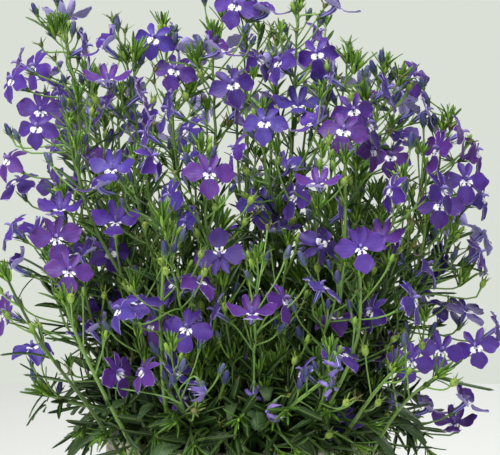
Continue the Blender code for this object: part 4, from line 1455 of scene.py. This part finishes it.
def growRaceme(shoot, dice):
    # The rachis with its bracts, pedicels, calyces, buds, capsules and growing point
    sprouts, look = Sprouts(), racemeShape
    path = shoot["path"]
    total = lengths(path)[-1]
    # Painted light: the rachis is tinted paler the more lit its tip is
    tint = blendTint("stalk", "stalkPale", paintedLightShare(path[-1]) * dice.random())
    stops = np.linspace(0, total, look["rings"])
    first, _ = crossOf(headingAt(path, total / 2))
    sway = np.sin(stops * look["bends"]) * np.minimum(1, stops / 0.004) * look["zigzag"]
    sprouts.stalk(atLength(path, stops) + first * sway[:, None], look["radii"], tint)
    for number, bloom in enumerate(shoot["blooms"]):
        # Painted light and shade on each pedicel and bract, by where its calyx sits
        lit = paintedLightShare(bloom["calyx"])
        addPedicel(sprouts, bloom["stalk"], blendTint("stalk", "stalkPale", lit * dice.random()))
        turn = turnOf(bloom["tube"], bloom["top"])
        size = between((0.95, 1.10), dice)
        tint = blendTint("leafDark", "sepal", between((0.4, 1.0), dice))
        sprouts.part(greenKinds["calyx"], bloom["calyx"] - bloom["tube"] * 0.0012, turn, size, tint)
        heading = headingAt(path, bloom["s"])
        flat = unit(bloom["stalk"][6] - bloom["stalk"][0])
        length = between(leafShape["bractLength"], dice)
        direction = unit(flat + heading * 0.2 - up * 0.25)
        sprouts.part(greenKinds["leaf"][number % 3], bloom["stalk"][0], turnOf(direction, heading),
                     (length * 0.12, length, length), blendTint("leafDark", "leaf", lit))
    low, high = look["sprayPlace"]
    for number in range(look["sprays"]):
        s = total * (low + (high - low) * (number + 0.5 * dice.random()) / look["sprays"])
        kind = pick(("star", "capsule", "star", "bud", "bud", "capsule"), dice)
        addSpray(sprouts, *nodeOn(path, s, number, dice), between(look["sprayReach"], dice),
                 between(look["sprayLean"], dice), kind, dice)
    for number in range(look["tipSprays"]):
        kind = "bud" if number < 2 else "green"
        addSpray(sprouts, *nodeOn(path, total * (high + 0.065 * number), number, dice),
                 0.0075 - 0.0013 * number, 0.75, kind, dice)
    addTuft(sprouts, path, look["tuft"], dice)
    addTwig(sprouts, *nodeOn(path, total * between((0.12, 0.42), dice), 0, dice), dice)
    return sprouts


tubeRadii = (0.00075, 0.00085, 0.00090, 0.00095, 0.00105, 0.00120, 0.00135)


def growBlooms(shoot, dice):
    # Each open flower: its tube along a bend from calyx to mouth, and its petals
    sprouts = Sprouts()
    pull = spacing["tubeLength"] * 0.35
    for bloom in shoot["blooms"]:
        tint = pick(petalTints, dice) * between((0.9, 1.15), dice)
        face, throat, top = bloom["face"], bloom["throat"], bloom["top"]
        raised = dice.random() < raisedBlooms["share"]
        if raised:
            lift = math.radians(between(raisedBlooms["lift"], dice))
            level = unit(face * (1.0, 1.0, 0.0))
            face = level * math.cos(lift) + up * math.sin(lift)
            top = up * math.cos(lift) - level * math.sin(lift)
        path = bezier(bloom["calyx"], bloom["calyx"] + bloom["tube"] * pull, throat - face * pull,
                      throat - face * 0.0002, len(tubeRadii))
        sprouts.stalk(path, tubeRadii, tint)
        kind = int(dice.choice(len(kindShares), p=kindShares))
        if raised:
            kind = raisedBlooms["kind"]
        sprouts.part(kind, throat, turnOf(top, face), between((0.97, 1.09), dice), tint)
    return sprouts


def growStem(shoot, dice):
    sprouts = Sprouts()
    path = shoot["stem"]
    total = lengths(path)[-1]
    stops = np.linspace(0, total, 34)
    tint = blendTint("stalkDark", "stalkPale", between((0.15, 0.90), dice))
    sprouts.stalk(atLength(path, stops), [stemRadius(stop / total) for stop in stops], tint)
    addStemLeaves(sprouts, path, 0.10 * total, total, dice, 1.0)
    if shoot["path"] is None:
        addTuft(sprouts, path, 0.0085, dice)
        for number in range(7):
            addLeaf(sprouts, path[-1] - up * 0.001 * number, headingAt(path, total), goldenTurn * number,
                    1.35, between(leafShape["crownLength"], dice), 0.0012, tints["leaf"], dice)
    for number in range(twigShape["count"]):
        s = total * (0.22 + 0.70 * (number + 0.6 * dice.random()) / twigShape["count"])
        addTwig(sprouts, *nodeOn(path, s, number, dice), dice)
    return sprouts


def addStemLeaves(sprouts, path, start, end, dice, size, step=leafShape["stemSpacing"]):
    count = max(2, int((end - start) / step))
    turn = 360 * dice.random()
    for number in range(count):
        s = start + (end - start) * (number + 0.5 * dice.random()) / count
        place = atLength(path, s)
        # Painted light and shade: leaves low and deep in the plant are coloured darker, and outer, upper
        # ones paler
        lit = paintedLightShare(place)
        length, half = [between(leafShape[key], dice) for key in ("stemLength", "stemHalf")]
        broad = 1 + (leafShape["lowSpread"] - 1) * (1 - s / end) * 2
        addLeaf(sprouts, place, headingAt(path, s), turn + goldenTurn * number,
                between((0.55, 1.10), dice), length * size, half * broad * size,
                blendTint("leafDark", "leaf", 0.10 + 0.90 * lit) * (0.55 + 0.45 * lit), dice)


def addTwig(sprouts, start, along, degrees, dice):
    out = sideways(along, degrees)
    if out[2] < -0.3:
        out = -out
    reach = between(twigShape["reach"], dice)
    for _ in range(6):
        tip = start + out * reach * 0.50 + unit(along + up) * reach * 0.82
        if inside(tip, twigShape["front"]):
            break
        reach = reach * 0.75
    path = bezier(start, start + unit(out + along) * reach * 0.35, tip - up * reach * 0.35, tip, 30)
    # Painted light and shade: the twig is paler where its tip is lit, darker deep inside
    sprouts.stem(path, 8, twigShape["radii"], blendTint("stalkDark", "stalkPale", paintedLightShare(tip)))
    addStemLeaves(sprouts, path, 0.15 * reach, 0.9 * reach, dice, 0.72)
    addTuft(sprouts, path, 0.0055, dice, 7, 2)


sproutGroups = 4  # pieces that the shoots at the foot are shared out to
youngShoot = {"radii": (0.0009, 0.0005), "leaf": 1.2, "tuft": 0.0065}
sprigShape = {"count": 120, "reach": 0.040, "height": (0.030, 0.110), "lean": 0.50, "front": -0.018}
rimShape = {"count": 52, "foot": 0.0445, "reach": (0.062, 0.078), "height": (0.086, 0.118),
            "rise": 0.012, "front": 56, "shoulder": 0.058}


def addShoot(sprouts, path, points, tint, bare, step, dice):
    # A young shoot, bare for that share of its length and then leafy
    total = lengths(path)[-1]
    sprouts.stem(path, points, youngShoot["radii"], tint)
    addStemLeaves(sprouts, path, bare * total, total, dice, youngShoot["leaf"], step)
    addTuft(sprouts, path, youngShoot["tuft"], dice, 8, 1)


def sector(groups, degrees):
    return groups[int((degrees % 360) / 360 * len(groups))]


def inSoil(degrees, reach):
    # A foot half a millimetre down in the soil
    return around(degrees, reach, soilHeight(reach) - 0.0005)


def growSprigs(dice):
    # Young leafy shoots that fill the foot of the plant
    groups = [Sprouts() for _ in range(sproutGroups)]
    for number in range(sprigShape["count"]):
        reach = sprigShape["reach"] * math.sqrt((number + 0.5) / sprigShape["count"])
        degrees = goldenTurn * number
        foot = inSoil(degrees, reach)
        height = between(sprigShape["height"], dice)
        if foot[1] < sprigShape["front"]:
            height = height * 0.45
        spread = sprigShape["lean"] * height * reach / sprigShape["reach"]
        tip = around(degrees + 30 * (dice.random() - 0.5), reach + spread, foot[2] + height)
        path = bezier(foot, foot + up * height * 0.4, tip - up * height * 0.4, tip, 30)
        # Painted shade: the sprigs at the foot take the dark tone of stalks in shade
        addShoot(sector(groups, degrees), path, 10, tints["stalkDark"], 0.12, 0.0038, dice)
    return groups


wandShape = {"count": 52, "foot": 0.039, "height": (0.045, 0.150), "lean": (0.18, 0.50),
             "leafStep": 0.009, "radii": (0.00105, 0.00055), "ring": 13, "sprays": (0.62, 0.12)}
sideSprays = {"count": 3, "reach": (0.010, 0.022), "lean": 0.7}


def addSideSprays(sprouts, path, first, step, kinds, dice):
    total = lengths(path)[-1]
    for number in range(sideSprays["count"]):
        s = total * (first + step * number)
        kind = pick(kinds, dice)
        addSpray(sprouts, *nodeOn(path, s, number, dice), between(sideSprays["reach"], dice),
                 sideSprays["lean"], kind, dice)


def growWands(dice):
    # Slender shoots that haven't flowered yet: bare below, with a bud or a tuft at the tip
    groups, look = [Sprouts() for _ in range(sproutGroups)], wandShape
    for number in range(look["count"]):
        degrees = goldenTurn * number + 60
        reach = look["foot"] * math.sqrt((number % look["ring"] + 0.7) / look["ring"])
        foot = inSoil(degrees, reach)
        height, lean = [between(look[key], dice) for key in ("height", "lean")]
        turn = degrees + 50 * (dice.random() - 0.5)
        for _ in range(8):
            tip = around(turn, reach + height * lean, foot[2] + height)
            if inside(tip, twigShape["front"]):
                break
            height = height * 0.85
        bow = around(turn + 90, height * 0.12 * (dice.random() - 0.5), 0)
        path = bezier(foot, foot + up * height * 0.35 + bow, tip - up * height * 0.40 + bow, tip, 40)
        # Painted light: wands that stand further forward are tinted paler, those behind darker as in
        # shade
        front = float(np.clip(0.5 - tip[1] / 0.10, 0, 1))
        tint = blendTint("stalkDark", "stalkPale", front * between((0.6, 1.0), dice))
        sprouts, total = sector(groups, degrees), lengths(path)[-1]
        sprouts.stem(path, 20, look["radii"], tint)
        addStemLeaves(sprouts, path, 0.18 * total, total, dice, 0.9, look["leafStep"])
        addSideSprays(sprouts, path, *look["sprays"], ("bud", "capsule", "star", "green"), dice)
        addTuft(sprouts, path, youngShoot["tuft"], dice)
    return groups


# Stems that stand out in the photograph: their pixels from the foot up, their depth at the top, their
# width and paleness, and their larger leaves as share along the stem, tip pixel and half width
# Paleness is partly the stem's own tone and partly painted light; the large leaves on a stem take the
# same painted shade
seenStems = [
    ([(174, 455), (164, 400), (160, 340), (162, 285), (166, 232)], -0.064, 1.1, 0.9, [(0.30,
     (142, 392), 0.0011), (0.52, (183, 318), 0.0010), (0.78, (147, 262), 0.0009)]),
    ([(330, 455), (352, 425), (372, 395), (396, 368)], -0.070, 1.15, 0.8, [(0.45, (340, 398), 0.0012),
     (0.75, (402, 396), 0.0010)]),
    ([(296, 455), (319, 423), (340, 385), (358, 345), (361, 310), (360, 272)], -0.066, 1.0, 1.0, [(0.25,
     (306, 380), 0.0018), (0.55, (380, 352), 0.0011), (0.80, (346, 288), 0.0010)]),
    ([(221, 455), (258, 430), (298, 401), (322, 382)], -0.074, 1.2, 1.0, [(0.40, (262, 405), 0.0013),
     (0.75, (304, 378), 0.0016)]),
    ([(310, 455), (330, 380), (341, 300), (346, 225), (345, 158)], -0.052, 1.0, 0.6, [(0.50,
     (362, 268), 0.0010), (0.70, (330, 200), 0.0010)]),
    ([(137, 455), (115, 415), (95, 376), (76, 336), (64, 300)], -0.068, 1.05, 0.8, [(0.40,
     (86, 405), 0.0016), (0.60, (112, 352), 0.0011)]),
    ([(122, 455), (86, 402), (46, 352), (22, 310), (6, 276)], -0.058, 1.0, 0.15, [(0.62,
     (4, 341), 0.0017), (0.50, (24, 370), 0.0013)]),
    ([(372, 452), (392, 418), (412, 394), (438, 375)], -0.066, 0.9, 0.6, [(0.98, (494, 393), 0.0014),
     (0.80, (466, 360), 0.0011), (0.35, (368, 402), 0.0020)]),
    ([(246, 455), (240, 400), (228, 340), (222, 280)], -0.056, 0.9, 0.35, [(0.50, (250, 335), 0.0011)]),
    ([(198, 455), (204, 390), (214, 320), (232, 262)], -0.050, 0.9, 0.5, [(0.45, (190, 350), 0.0011)]),
]


seenShape = {"depth": -0.046, "radii": (0.00105, 0.00060), "points": 36, "evened": 12, "leafStep": 0.011,
             "footDepth": -0.038, "tuft": 0.0070}


def evened(marks):
    # An even curve through the marks
    steps = np.linspace(0, len(marks) - 1, seenShape["points"])
    path = np.stack([np.interp(steps, np.arange(len(marks)), marks[:, axis]) for axis in range(3)], -1)
    for _ in range(seenShape["evened"]):
        path[1:-1] = (path[:-2] + 2 * path[1:-1] + path[2:]) / 4
    return path


def growSeenStems(dice):
    sprouts, look = Sprouts(), seenShape
    for pixels, depth, width, paleness, leaves in seenStems:
        depths = np.linspace(look["depth"], depth, len(pixels))
        marks = np.array([seen(*pixel, y) for pixel, y in zip(pixels, depths)])
        foot = marks[0] * (0.92, 0, 0) + (0, look["footDepth"], 0)
        foot[2] = soilHeight(math.hypot(foot[0], foot[1])) - 0.0005
        path = evened(np.concatenate([foot[None], marks]))
        total = lengths(path)[-1]
        # Painted light and shade with the stem's own tone: paleness sets how pale the stem and its large
        # leaves are
        sprouts.stalk(path, np.linspace(*look["radii"], len(path)) * width,
                      blendTint("stalkDark", "stalkPale", paleness))
        addStemLeaves(sprouts, path, 0.25 * total, total, dice, 0.9, look["leafStep"])
        for share, pixel, half in leaves:
            start = atLength(path, share * total)
            tip = seen(*pixel, start[1] - 0.002)
            long = np.linalg.norm(tip - start)
            sprouts.part(pick(greenKinds["leaf"], dice), start, turnOf(tip - start, up),
                         (half, long, long), blendTint("leafDark", "leaf", 0.3 + 0.5 * paleness))
        addSideSprays(sprouts, path, 0.60, 0.13, ("bud", "capsule", "green"), dice)
        addTuft(sprouts, path, look["tuft"], dice)
    return sprouts


def growRimSprigs(dice):
    # Leafy shoots that rise beside the wall of the pot and hang over its rim
    sprouts, look = Sprouts(), rimShape
    crest = potShape["height"] + look["rise"]
    for number in range(look["count"]):
        degrees = 360 * (number + 0.6 * dice.random()) / look["count"]
        if number % 2:
            degrees = look["front"] * (2 * (number + 0.6 * dice.random()) / look["count"] - 1)
        foot = inSoil(degrees, look["foot"])
        reach, height = [between(look[key], dice) for key in ("reach", "height")]
        tip = around(degrees + 24 * (dice.random() - 0.5), reach, height)
        shoulder = around(degrees, look["shoulder"], max(height, crest) + 0.004)
        path = bezier(foot, foot + up * (crest - foot[2]), shoulder, tip, 30)
        tint = blendTint("stalkDark", "stalk", dice.random())
        addShoot(sprouts, path, 12, tint, 0.30, 0.0048, dice)
    return sprouts


# Small things that the photograph shows apart from the flowers, by pixel
seenParts = {
    "bud": [(38, 17), (57, 6), (72, 37), (118, 32), (85, 47), (78, 63), (174, 48), (205, 6), (287, 35),
        (272, 73), (363, 80), (382, 65), (424, 90), (429, 107), (270, 143), (12, 138), (20, 143),
        (410, 150), (246, 233), (132, 262), (166, 258), (312, 303), (452, 263), (35, 383), (58, 395)],
    "star": [(113, 22), (125, 33), (276, 41), (324, 8), (348, 47), (450, 130), (42, 47)],
    "capsule": [(184, 77), (328, 145), (357, 197), (352, 222), (375, 155), (300, 190), (413, 197),
        (424, 213), (410, 234), (198, 238), (398, 369), (405, 338), (234, 389), (322, 428), (255, 425),
        (481, 288)],
    "tuft": [(54, 30), (135, 55), (197, 62), (190, 92), (245, 12), (355, 67), (325, 97), (365, 97),
        (400, 80), (350, 135), (318, 207), (362, 180), (332, 212), (163, 220), (222, 225), (288, 283),
        (278, 290), (300, 278), (70, 310), (462, 280), (490, 282), (207, 357)],
    "withered": [(117, 410), (145, 372), (197, 378), (254, 381), (276, 400), (335, 352), (330, 372),
        (357, 393), (392, 389), (194, 305)],
}
attachment = {"drop": 13, "below": 0.7, "nearness": 160, "front": 0.09, "proud": 0.004, "furthest": 70}
witheredShape = {"radii": (0.0006, 0.0009), "length": 0.006}


def carrierSamples(shoots):
    rows = []
    for name, shoot in shoots.items():
        for key in ("stem", "path"):
            if shoot[key] is None:
                continue
            for s in np.arange(0.004, lengths(shoot[key])[-1], 0.003):
                rows.append((name, key, atLength(shoot[key], s), headingAt(shoot[key], s)))
    return rows


def pixelsOf(points):
    # Where the photograph shows each point
    away = points - eye
    scale = photo["pxPerMetre"] * photo["distance"] / (away @ ahead)
    return photo["widthPx"] / 2 + away[:, 0] * scale, photo["heightPx"] / 2 - (away @ above) * scale


def addWithered(greens, blooms, place, heading, dice):
    greens.part(greenKinds["calyx"], place, turnOf(heading, up), 0.9, tints["sepal"])
    tint = pick(witheredTints, dice)
    steps = [place + heading * witheredShape["length"] * step / 3 for step in range(4)]
    blooms.stalk(bezier(*steps, 5), witheredShape["radii"], tint)
    blooms.part(len(bloomKinds), steps[-1], turnOf(up, heading), 1.0, tint)


def attachSeen(shoots, greens, stems, blooms, dice):
    # Each thing hangs on the nearest stalk below it, a little in front of that
    rows = carrierSamples(shoots)
    places = np.array([row[2] for row in rows])
    u, v = pixelsOf(places)
    onStem = np.array([row[1] == "stem" for row in rows])
    for kind, spots in seenParts.items():
        for spotU, spotV in spots:
            cost = np.abs(u - spotU) + attachment["below"] * np.abs(v - spotV - attachment["drop"])
            cost = cost + attachment["nearness"] * (places[:, 1] + attachment["front"])
            if kind == "withered":
                cost = cost + np.where(onStem, 1000, 0)
            name, key, start, along = rows[int(np.argmin(cost))]
            end = seen(spotU, spotV, start[1] - attachment["proud"])
            reach = np.linalg.norm(end - start)
            if reach * photo["pxPerMetre"] > attachment["furthest"]:
                print("left out, too far from a stalk:", kind, spotU, spotV)
                continue
            sprouts = stems[name] if key == "stem" else greens[name]
            rise = end - up * 0.4 * reach if kind != "withered" else end + up * 0.3 * reach
            path = bezier(start, start + along * 0.3 * reach, rise, end, 20)
            # Painted light: the pedicel is paler where its end is lit
            addPedicel(sprouts, path, blendTint("stalk", "stalkPale", paintedLightShare(end)))
            heading = unit(path[-1] - path[-4])
            if kind == "tuft":
                addTuft(sprouts, path, 0.0085, dice, 12, 4, heading)
            elif kind == "withered":
                addWithered(sprouts, blooms[name], end, heading, dice)
            else:
                addFruit(sprouts, kind, end, heading, dice)


# Broad leaves
bladeShape = {"rows": 26, "columns": 7, "teeth": 6, "bite": 0.30, "trough": 0.22, "thickness": 0.00045,
              "wave": 0.0007}
rosetteShape = {"count": 40, "reach": (0.060, 0.080), "height": (0.090, 0.124), "half": (0.0034, 0.0066)}


def addBlade(shape, azimuth, reach, height, halfWidth, tint, serial):
    # A toothed leaf with a channelled midrib, over the rim of the pot
    path = leafPath(azimuth, reach, height)
    total = lengths(path)[-1]
    across = around(azimuth + 90, 1.0, 0.0)
    rows, columns = bladeShape["rows"], bladeShape["columns"]
    points, normals = [], []
    for row in range(rows):
        share = row / (rows - 1)
        here = atLength(path, share * total)
        normal = unit(np.cross(across, headingAt(path, share * total)))
        wide = leafHalfWidth(min(share, 0.985), halfWidth)
        opened = bladeShare(share)
        saw = (opened * bladeShape["teeth"]) % 1.0
        bite = bladeShape["bite"] * (saw - 0.5) * min(1.0, opened * 4)
        for column in range(columns):
            edge = 2 * column / (columns - 1) - 1
            grown = wide * (1 + (bite if abs(edge) > 0.9 else 0.3 * bite * abs(edge)))
            lift = bladeShape["trough"] * wide * edge ** 2
            lift += bladeShape["wave"] * opened * math.sin(9 * share + 3 * edge + serial) * abs(edge)
            points.append(here + across * grown * edge + normal * lift)
            normals.append(normal)
    shape.sheet(np.array(points), np.array(normals), bladeShape["thickness"], rows, columns,
                tint=[tuple(tint)] * len(points))


def growBlades(dice):
    # The leaves that the CAD has, and the rosette of all the others
    made = {}
    for index, leaf in enumerate(basalLeaves):
        shape = made[f"broadLeaf_{index + 1:02d}"] = Shape()
        addBlade(shape, *leaf, blendTint("blade", "bladeGrey", 0.2 + 0.5 * (index % 2)), index)
    rosette = made["rosette"] = Shape()
    for number in range(rosetteShape["count"]):
        reach, height = [between(rosetteShape[key], dice) for key in ("reach", "height")]
        tint = blendTint("blade", "bladeGrey", 0.5 * dice.random()) * between((0.7, 1.1), dice)
        addBlade(rosette, goldenTurn * number + 20, reach, height, between(rosetteShape["half"], dice),
                 tint, number)
    return [stand(name, shape.mesh(name)) for name, shape in made.items()]


# Pot and soil
potRounds = {"steps": 128, "rimArc": 5, "holeSides": 24}
potEdges = {"mouth": 0.001, "lip": 0.0014, "band": 0.001, "foot": 0.0015, "floor": 0.002}


def lathe(name, profile, steps, material):
    # A profile of radius and height, turned about Z; its first and last points lie on the axis
    points, faces = [(0, 0, profile[0][1])], []
    inner = profile[1:-1]
    for radius, height in inner:
        points += [(radius * x, radius * y, height) for x, y in circle(steps)]
    points.append((0, 0, profile[-1][1]))
    last = len(points) - 1
    for step in range(steps):
        nxt = (step + 1) % steps
        faces.append((0, 1 + step, 1 + nxt))
        faces.append((last, last - steps + nxt, last - steps + step))
        for ring in range(len(inner) - 1):
            a, b = 1 + ring * steps + step, 1 + ring * steps + nxt
            faces.append((a, a + steps, b + steps, b))
    piece = stand(name, addMesh(name, points, faces))
    piece.data.materials.append(material)
    return piece


def bend(radius, height, edge, start, end):
    # A rounded edge of the profile, about its centre
    turns = np.radians(np.linspace(start, end, potRounds["rimArc"]))
    return [(radius + edge * math.cos(turn), height + edge * math.sin(turn)) for turn in turns]


def boreRadius(height):
    # The pot's inner wall, which the soil follows
    rim = potShape["rimRadius"] - potShape["rimProud"] - potShape["wall"]
    base = potShape["baseRadius"] - potShape["wall"]
    return base + (rim - base) * height / potShape["height"]


def potProfile():
    # From the floor's middle up the bore, over the lip and down to the foot's middle
    shape, edges = potShape, potEdges
    top, floor, rim, foot = shape["height"], shape["floor"], shape["rimRadius"], shape["baseRadius"]
    bore, band = boreRadius(top), top - shape["rimBand"]
    wallAtBand = foot + (rim - shape["rimProud"] - foot) * band / top
    profile = [(0, floor), (boreRadius(floor) - edges["floor"], floor),
               (boreRadius(floor), floor + edges["floor"]), (bore, top - 0.0012)]
    profile += bend(bore + edges["mouth"], top - edges["mouth"], edges["mouth"], 170, 95)
    profile += bend(rim - edges["lip"], top - edges["lip"], edges["lip"], 85, 0)
    profile += bend(rim - edges["band"], band + edges["band"], edges["band"], 0, -90)
    profile += [(wallAtBand + 0.0004, band), (wallAtBand, band - 0.001)]
    for share in (0.75, 0.5, 0.25):
        profile.append((foot + (wallAtBand - foot) * share, 0.0015 + (band - 0.0025) * share))
    profile += bend(foot - edges["foot"], edges["foot"], edges["foot"], 0, -90)
    return profile + [(0, 0)]


def makePot(material):
    pot = lathe("stonewarePot", potProfile(), potRounds["steps"], material)
    for index in range(potShape["drainHoles"]):
        turn = math.tau * (index + 0.5) / potShape["drainHoles"]
        place = [potShape["drainCircle"] * way for way in (math.cos(turn), math.sin(turn), 0)]
        cutter = cylinder("drill", place, potShape["drainRadius"], potShape["floor"] * 4,
                          potRounds["holeSides"])
        cut = pot.modifiers.new("drain", "BOOLEAN")
        cut.operation = "DIFFERENCE"
        cut.object = cutter
        scene = bpy.context.evaluated_depsgraph_get()
        drilled = bpy.data.meshes.new_from_object(pot.evaluated_get(scene))
        pot.modifiers.clear()
        pot.data = drilled
        bpy.data.objects.remove(cutter)
    pot.data.shade_smooth()
    pot.data.set_sharp_from_angle(angle=math.radians(40))
    return pot


def cylinder(name, place, radius, depth, segments):
    bm = bmesh.new()
    bmesh.ops.create_cone(bm, cap_ends=True, segments=segments, radius1=radius, radius2=radius,
                          depth=depth, matrix=Matrix.Translation(place))
    mesh = bpy.data.meshes.new(name)
    bm.to_mesh(mesh)
    bm.free()
    return stand(name, mesh)


soilLook = {"rings": 14, "steps": 72, "relief": 0.0012, "grains": 1500, "grain": (0.0006, 0.0017)}


def makeSoil(material):
    # The root ball with its crowned and lumpy top
    gap, foot = 1.5 * soilShape["gap"], potShape["floor"] + soilShape["gap"]
    edge = boreRadius(soilShape["top"]) - gap
    profile = [(0.0, soilHeight(0))]
    for ring in range(1, soilLook["rings"] + 1):
        radius = edge * ring / soilLook["rings"]
        profile.append((radius, soilHeight(radius)))
    profile += [(boreRadius(foot) - gap, foot), (0.0, foot)]
    soil = lathe("pottingSoil", profile, soilLook["steps"], material)
    for vertex in soil.data.vertices:
        place = vertex.co
        if place.z > soilShape["top"] - 0.001 and math.hypot(place.x, place.y) < 0.96 * edge:
            lump = math.sin(310 * place.x + 1.3) * math.sin(270 * place.y + 0.4)
            lump += 0.6 * math.sin(710 * place.x + 530 * place.y)
            place.z += soilLook["relief"] * 0.5 * (lump - 0.6)
    return soil


def grainTree():
    # Grains scattered over the top of the soil by a fixed seed
    nodes, given, result = newTree(
        "grains", "GeometryNodeTree",
        {"Ground": "Geometry", "Density": "Float", "Smallest": "Float", "Largest": "Float",
         "Finish": "Material"}, {"Grains": "Geometry"})
    add = nodes.add
    level = nodes.parted(add("GeometryNodeInputPosition", {}))["Z"]
    top = add("FunctionNodeCompare", {"A": level, "B": soilShape["top"] - 0.002}, "Result",
              operation="GREATER_THAN")
    scatter = add("GeometryNodeDistributePointsOnFaces", {
        "Mesh": given["Ground"], "Selection": top, "Density": given["Density"], "Seed": 4}, "Points")
    grain = add("GeometryNodeMeshIcoSphere", {"Radius": 1.0, "Subdivisions": 1}, "Mesh")
    size = add("FunctionNodeRandomValue", {0: given["Smallest"], 1: given["Largest"]},
               data_type="FLOAT_VECTOR")
    spin = add("FunctionNodeRandomValue", {1: (6.28, 6.28, 6.28), "Seed": 2}, data_type="FLOAT_VECTOR")
    nodes.feed(result["Grains"], nodes.copies(given["Finish"], {
        "Points": scatter, "Instance": grain, "Scale": size, "Rotation": spin}))
    return nodes.tree


def makeGrains(soil, material):
    low, high = soilLook["grain"]
    density = soilLook["grains"] / (math.pi * potShape["rimRadius"] ** 2)
    settings = {"Density": density, "Smallest": low, "Largest": high, "Finish": material}
    return plant("soilGrains", soil.data.copy(), grainTree(), settings)


def makeTable():
    # A pale round table top, level with the foot of the pot
    depth = studio["tableDepth"]
    table = cylinder("table", (0, 0, -depth / 2), studio["tableRadius"], depth, 256)
    table.data.materials.append(plainFinish("paleTable", 0.3, studio["table"], (0.02, 0.015, 4.0, 300.0),
                                            (0.1, 0.0003), (0.1, 0.55)))


setCamera()
setStudio()
makeTable()
print("camera and studio set")

shoots = planShoots()
print("shoots:", len(shoots), "blooms:", sum(len(shoot["blooms"]) for shoot in shoots.values()))

outline = outlineOf(shoots)
dice = np.random.default_rng(23)
flowering = {name: shoot for name, shoot in shoots.items() if shoot["path"] is not None}
greens = {name: growRaceme(shoot, dice) for name, shoot in flowering.items()}
blooms = {name: growBlooms(shoot, dice) for name, shoot in flowering.items()}
stems = {name: growStem(shoot, dice) for name, shoot in shoots.items() if shoot["stem"] is not None}
attachSeen(shoots, greens, stems, blooms, dice)
sprigs = growSprigs(dice) + growWands(dice) + [growRimSprigs(dice), growSeenStems(dice)]
sprigs = {number + 1: sprouts for number, sprouts in enumerate(sprigs)}
print("growth planned")

growthNodes = growthTree()
greenSettings = {"Shapes": greenShapes(), "Ribs": 4, "Furrow": 0.84,
                 "Stalk Finish": stalkFinish(), "Shape Finish": foliageFinish()}
bloomSettings = {"Shapes": bloomShapes(), "Ribs": 5, "Furrow": 0.88,
                 "Stalk Finish": tubeFinish(), "Shape Finish": petalFinish()}
parts = []
for label, grown, settings, slot, node in (
        ("leafyStem", stems, greenSettings, "stems", "stem"),
        ("stalks", greens, greenSettings, "stems", "raceme"),
        ("flowers", blooms, bloomSettings, "petals", "raceme"),
        ("sprigs", sprigs, greenSettings, "leaves", None)):
    for number, sprouts in grown.items():
        name = f"{label}_{number}"
        piece = plant(name, sprouts.source(name), growthNodes, settings)
        parts.append((piece, slot, f"{node}_{number}" if node else None))
soilSkin = plainFinish("pottingSoil", 0.25, "33261b", (0.70, 0.60, 120.0, 900.0), (1.0, 0.0012),
                       (0.2, 0.78))
soil = makeSoil(soilSkin)
parts += [(soil, "soil", "soil"), (makeGrains(soil, soilSkin), "soil", None)]
harvest()

parts.append((makePot(potFinish()), "pot", "pot"))
broadLeaf = bladeFinish()
for index, piece in enumerate(growBlades(dice)):
    piece.data.materials.append(broadLeaf)
    node = f"basal_leaf_{index + 1:02d}" if index < len(basalLeaves) else None
    parts.append((piece, "leaves", node))
for piece, slot, node in parts:
    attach(piece, "root")
    if node:
        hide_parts(node)
for box in (greenSettings["Shapes"], bloomSettings["Shapes"]):
    for thing in list(box.objects):
        bpy.data.objects.remove(thing)
    bpy.data.collections.remove(box)
print("pieces:", len(parts))
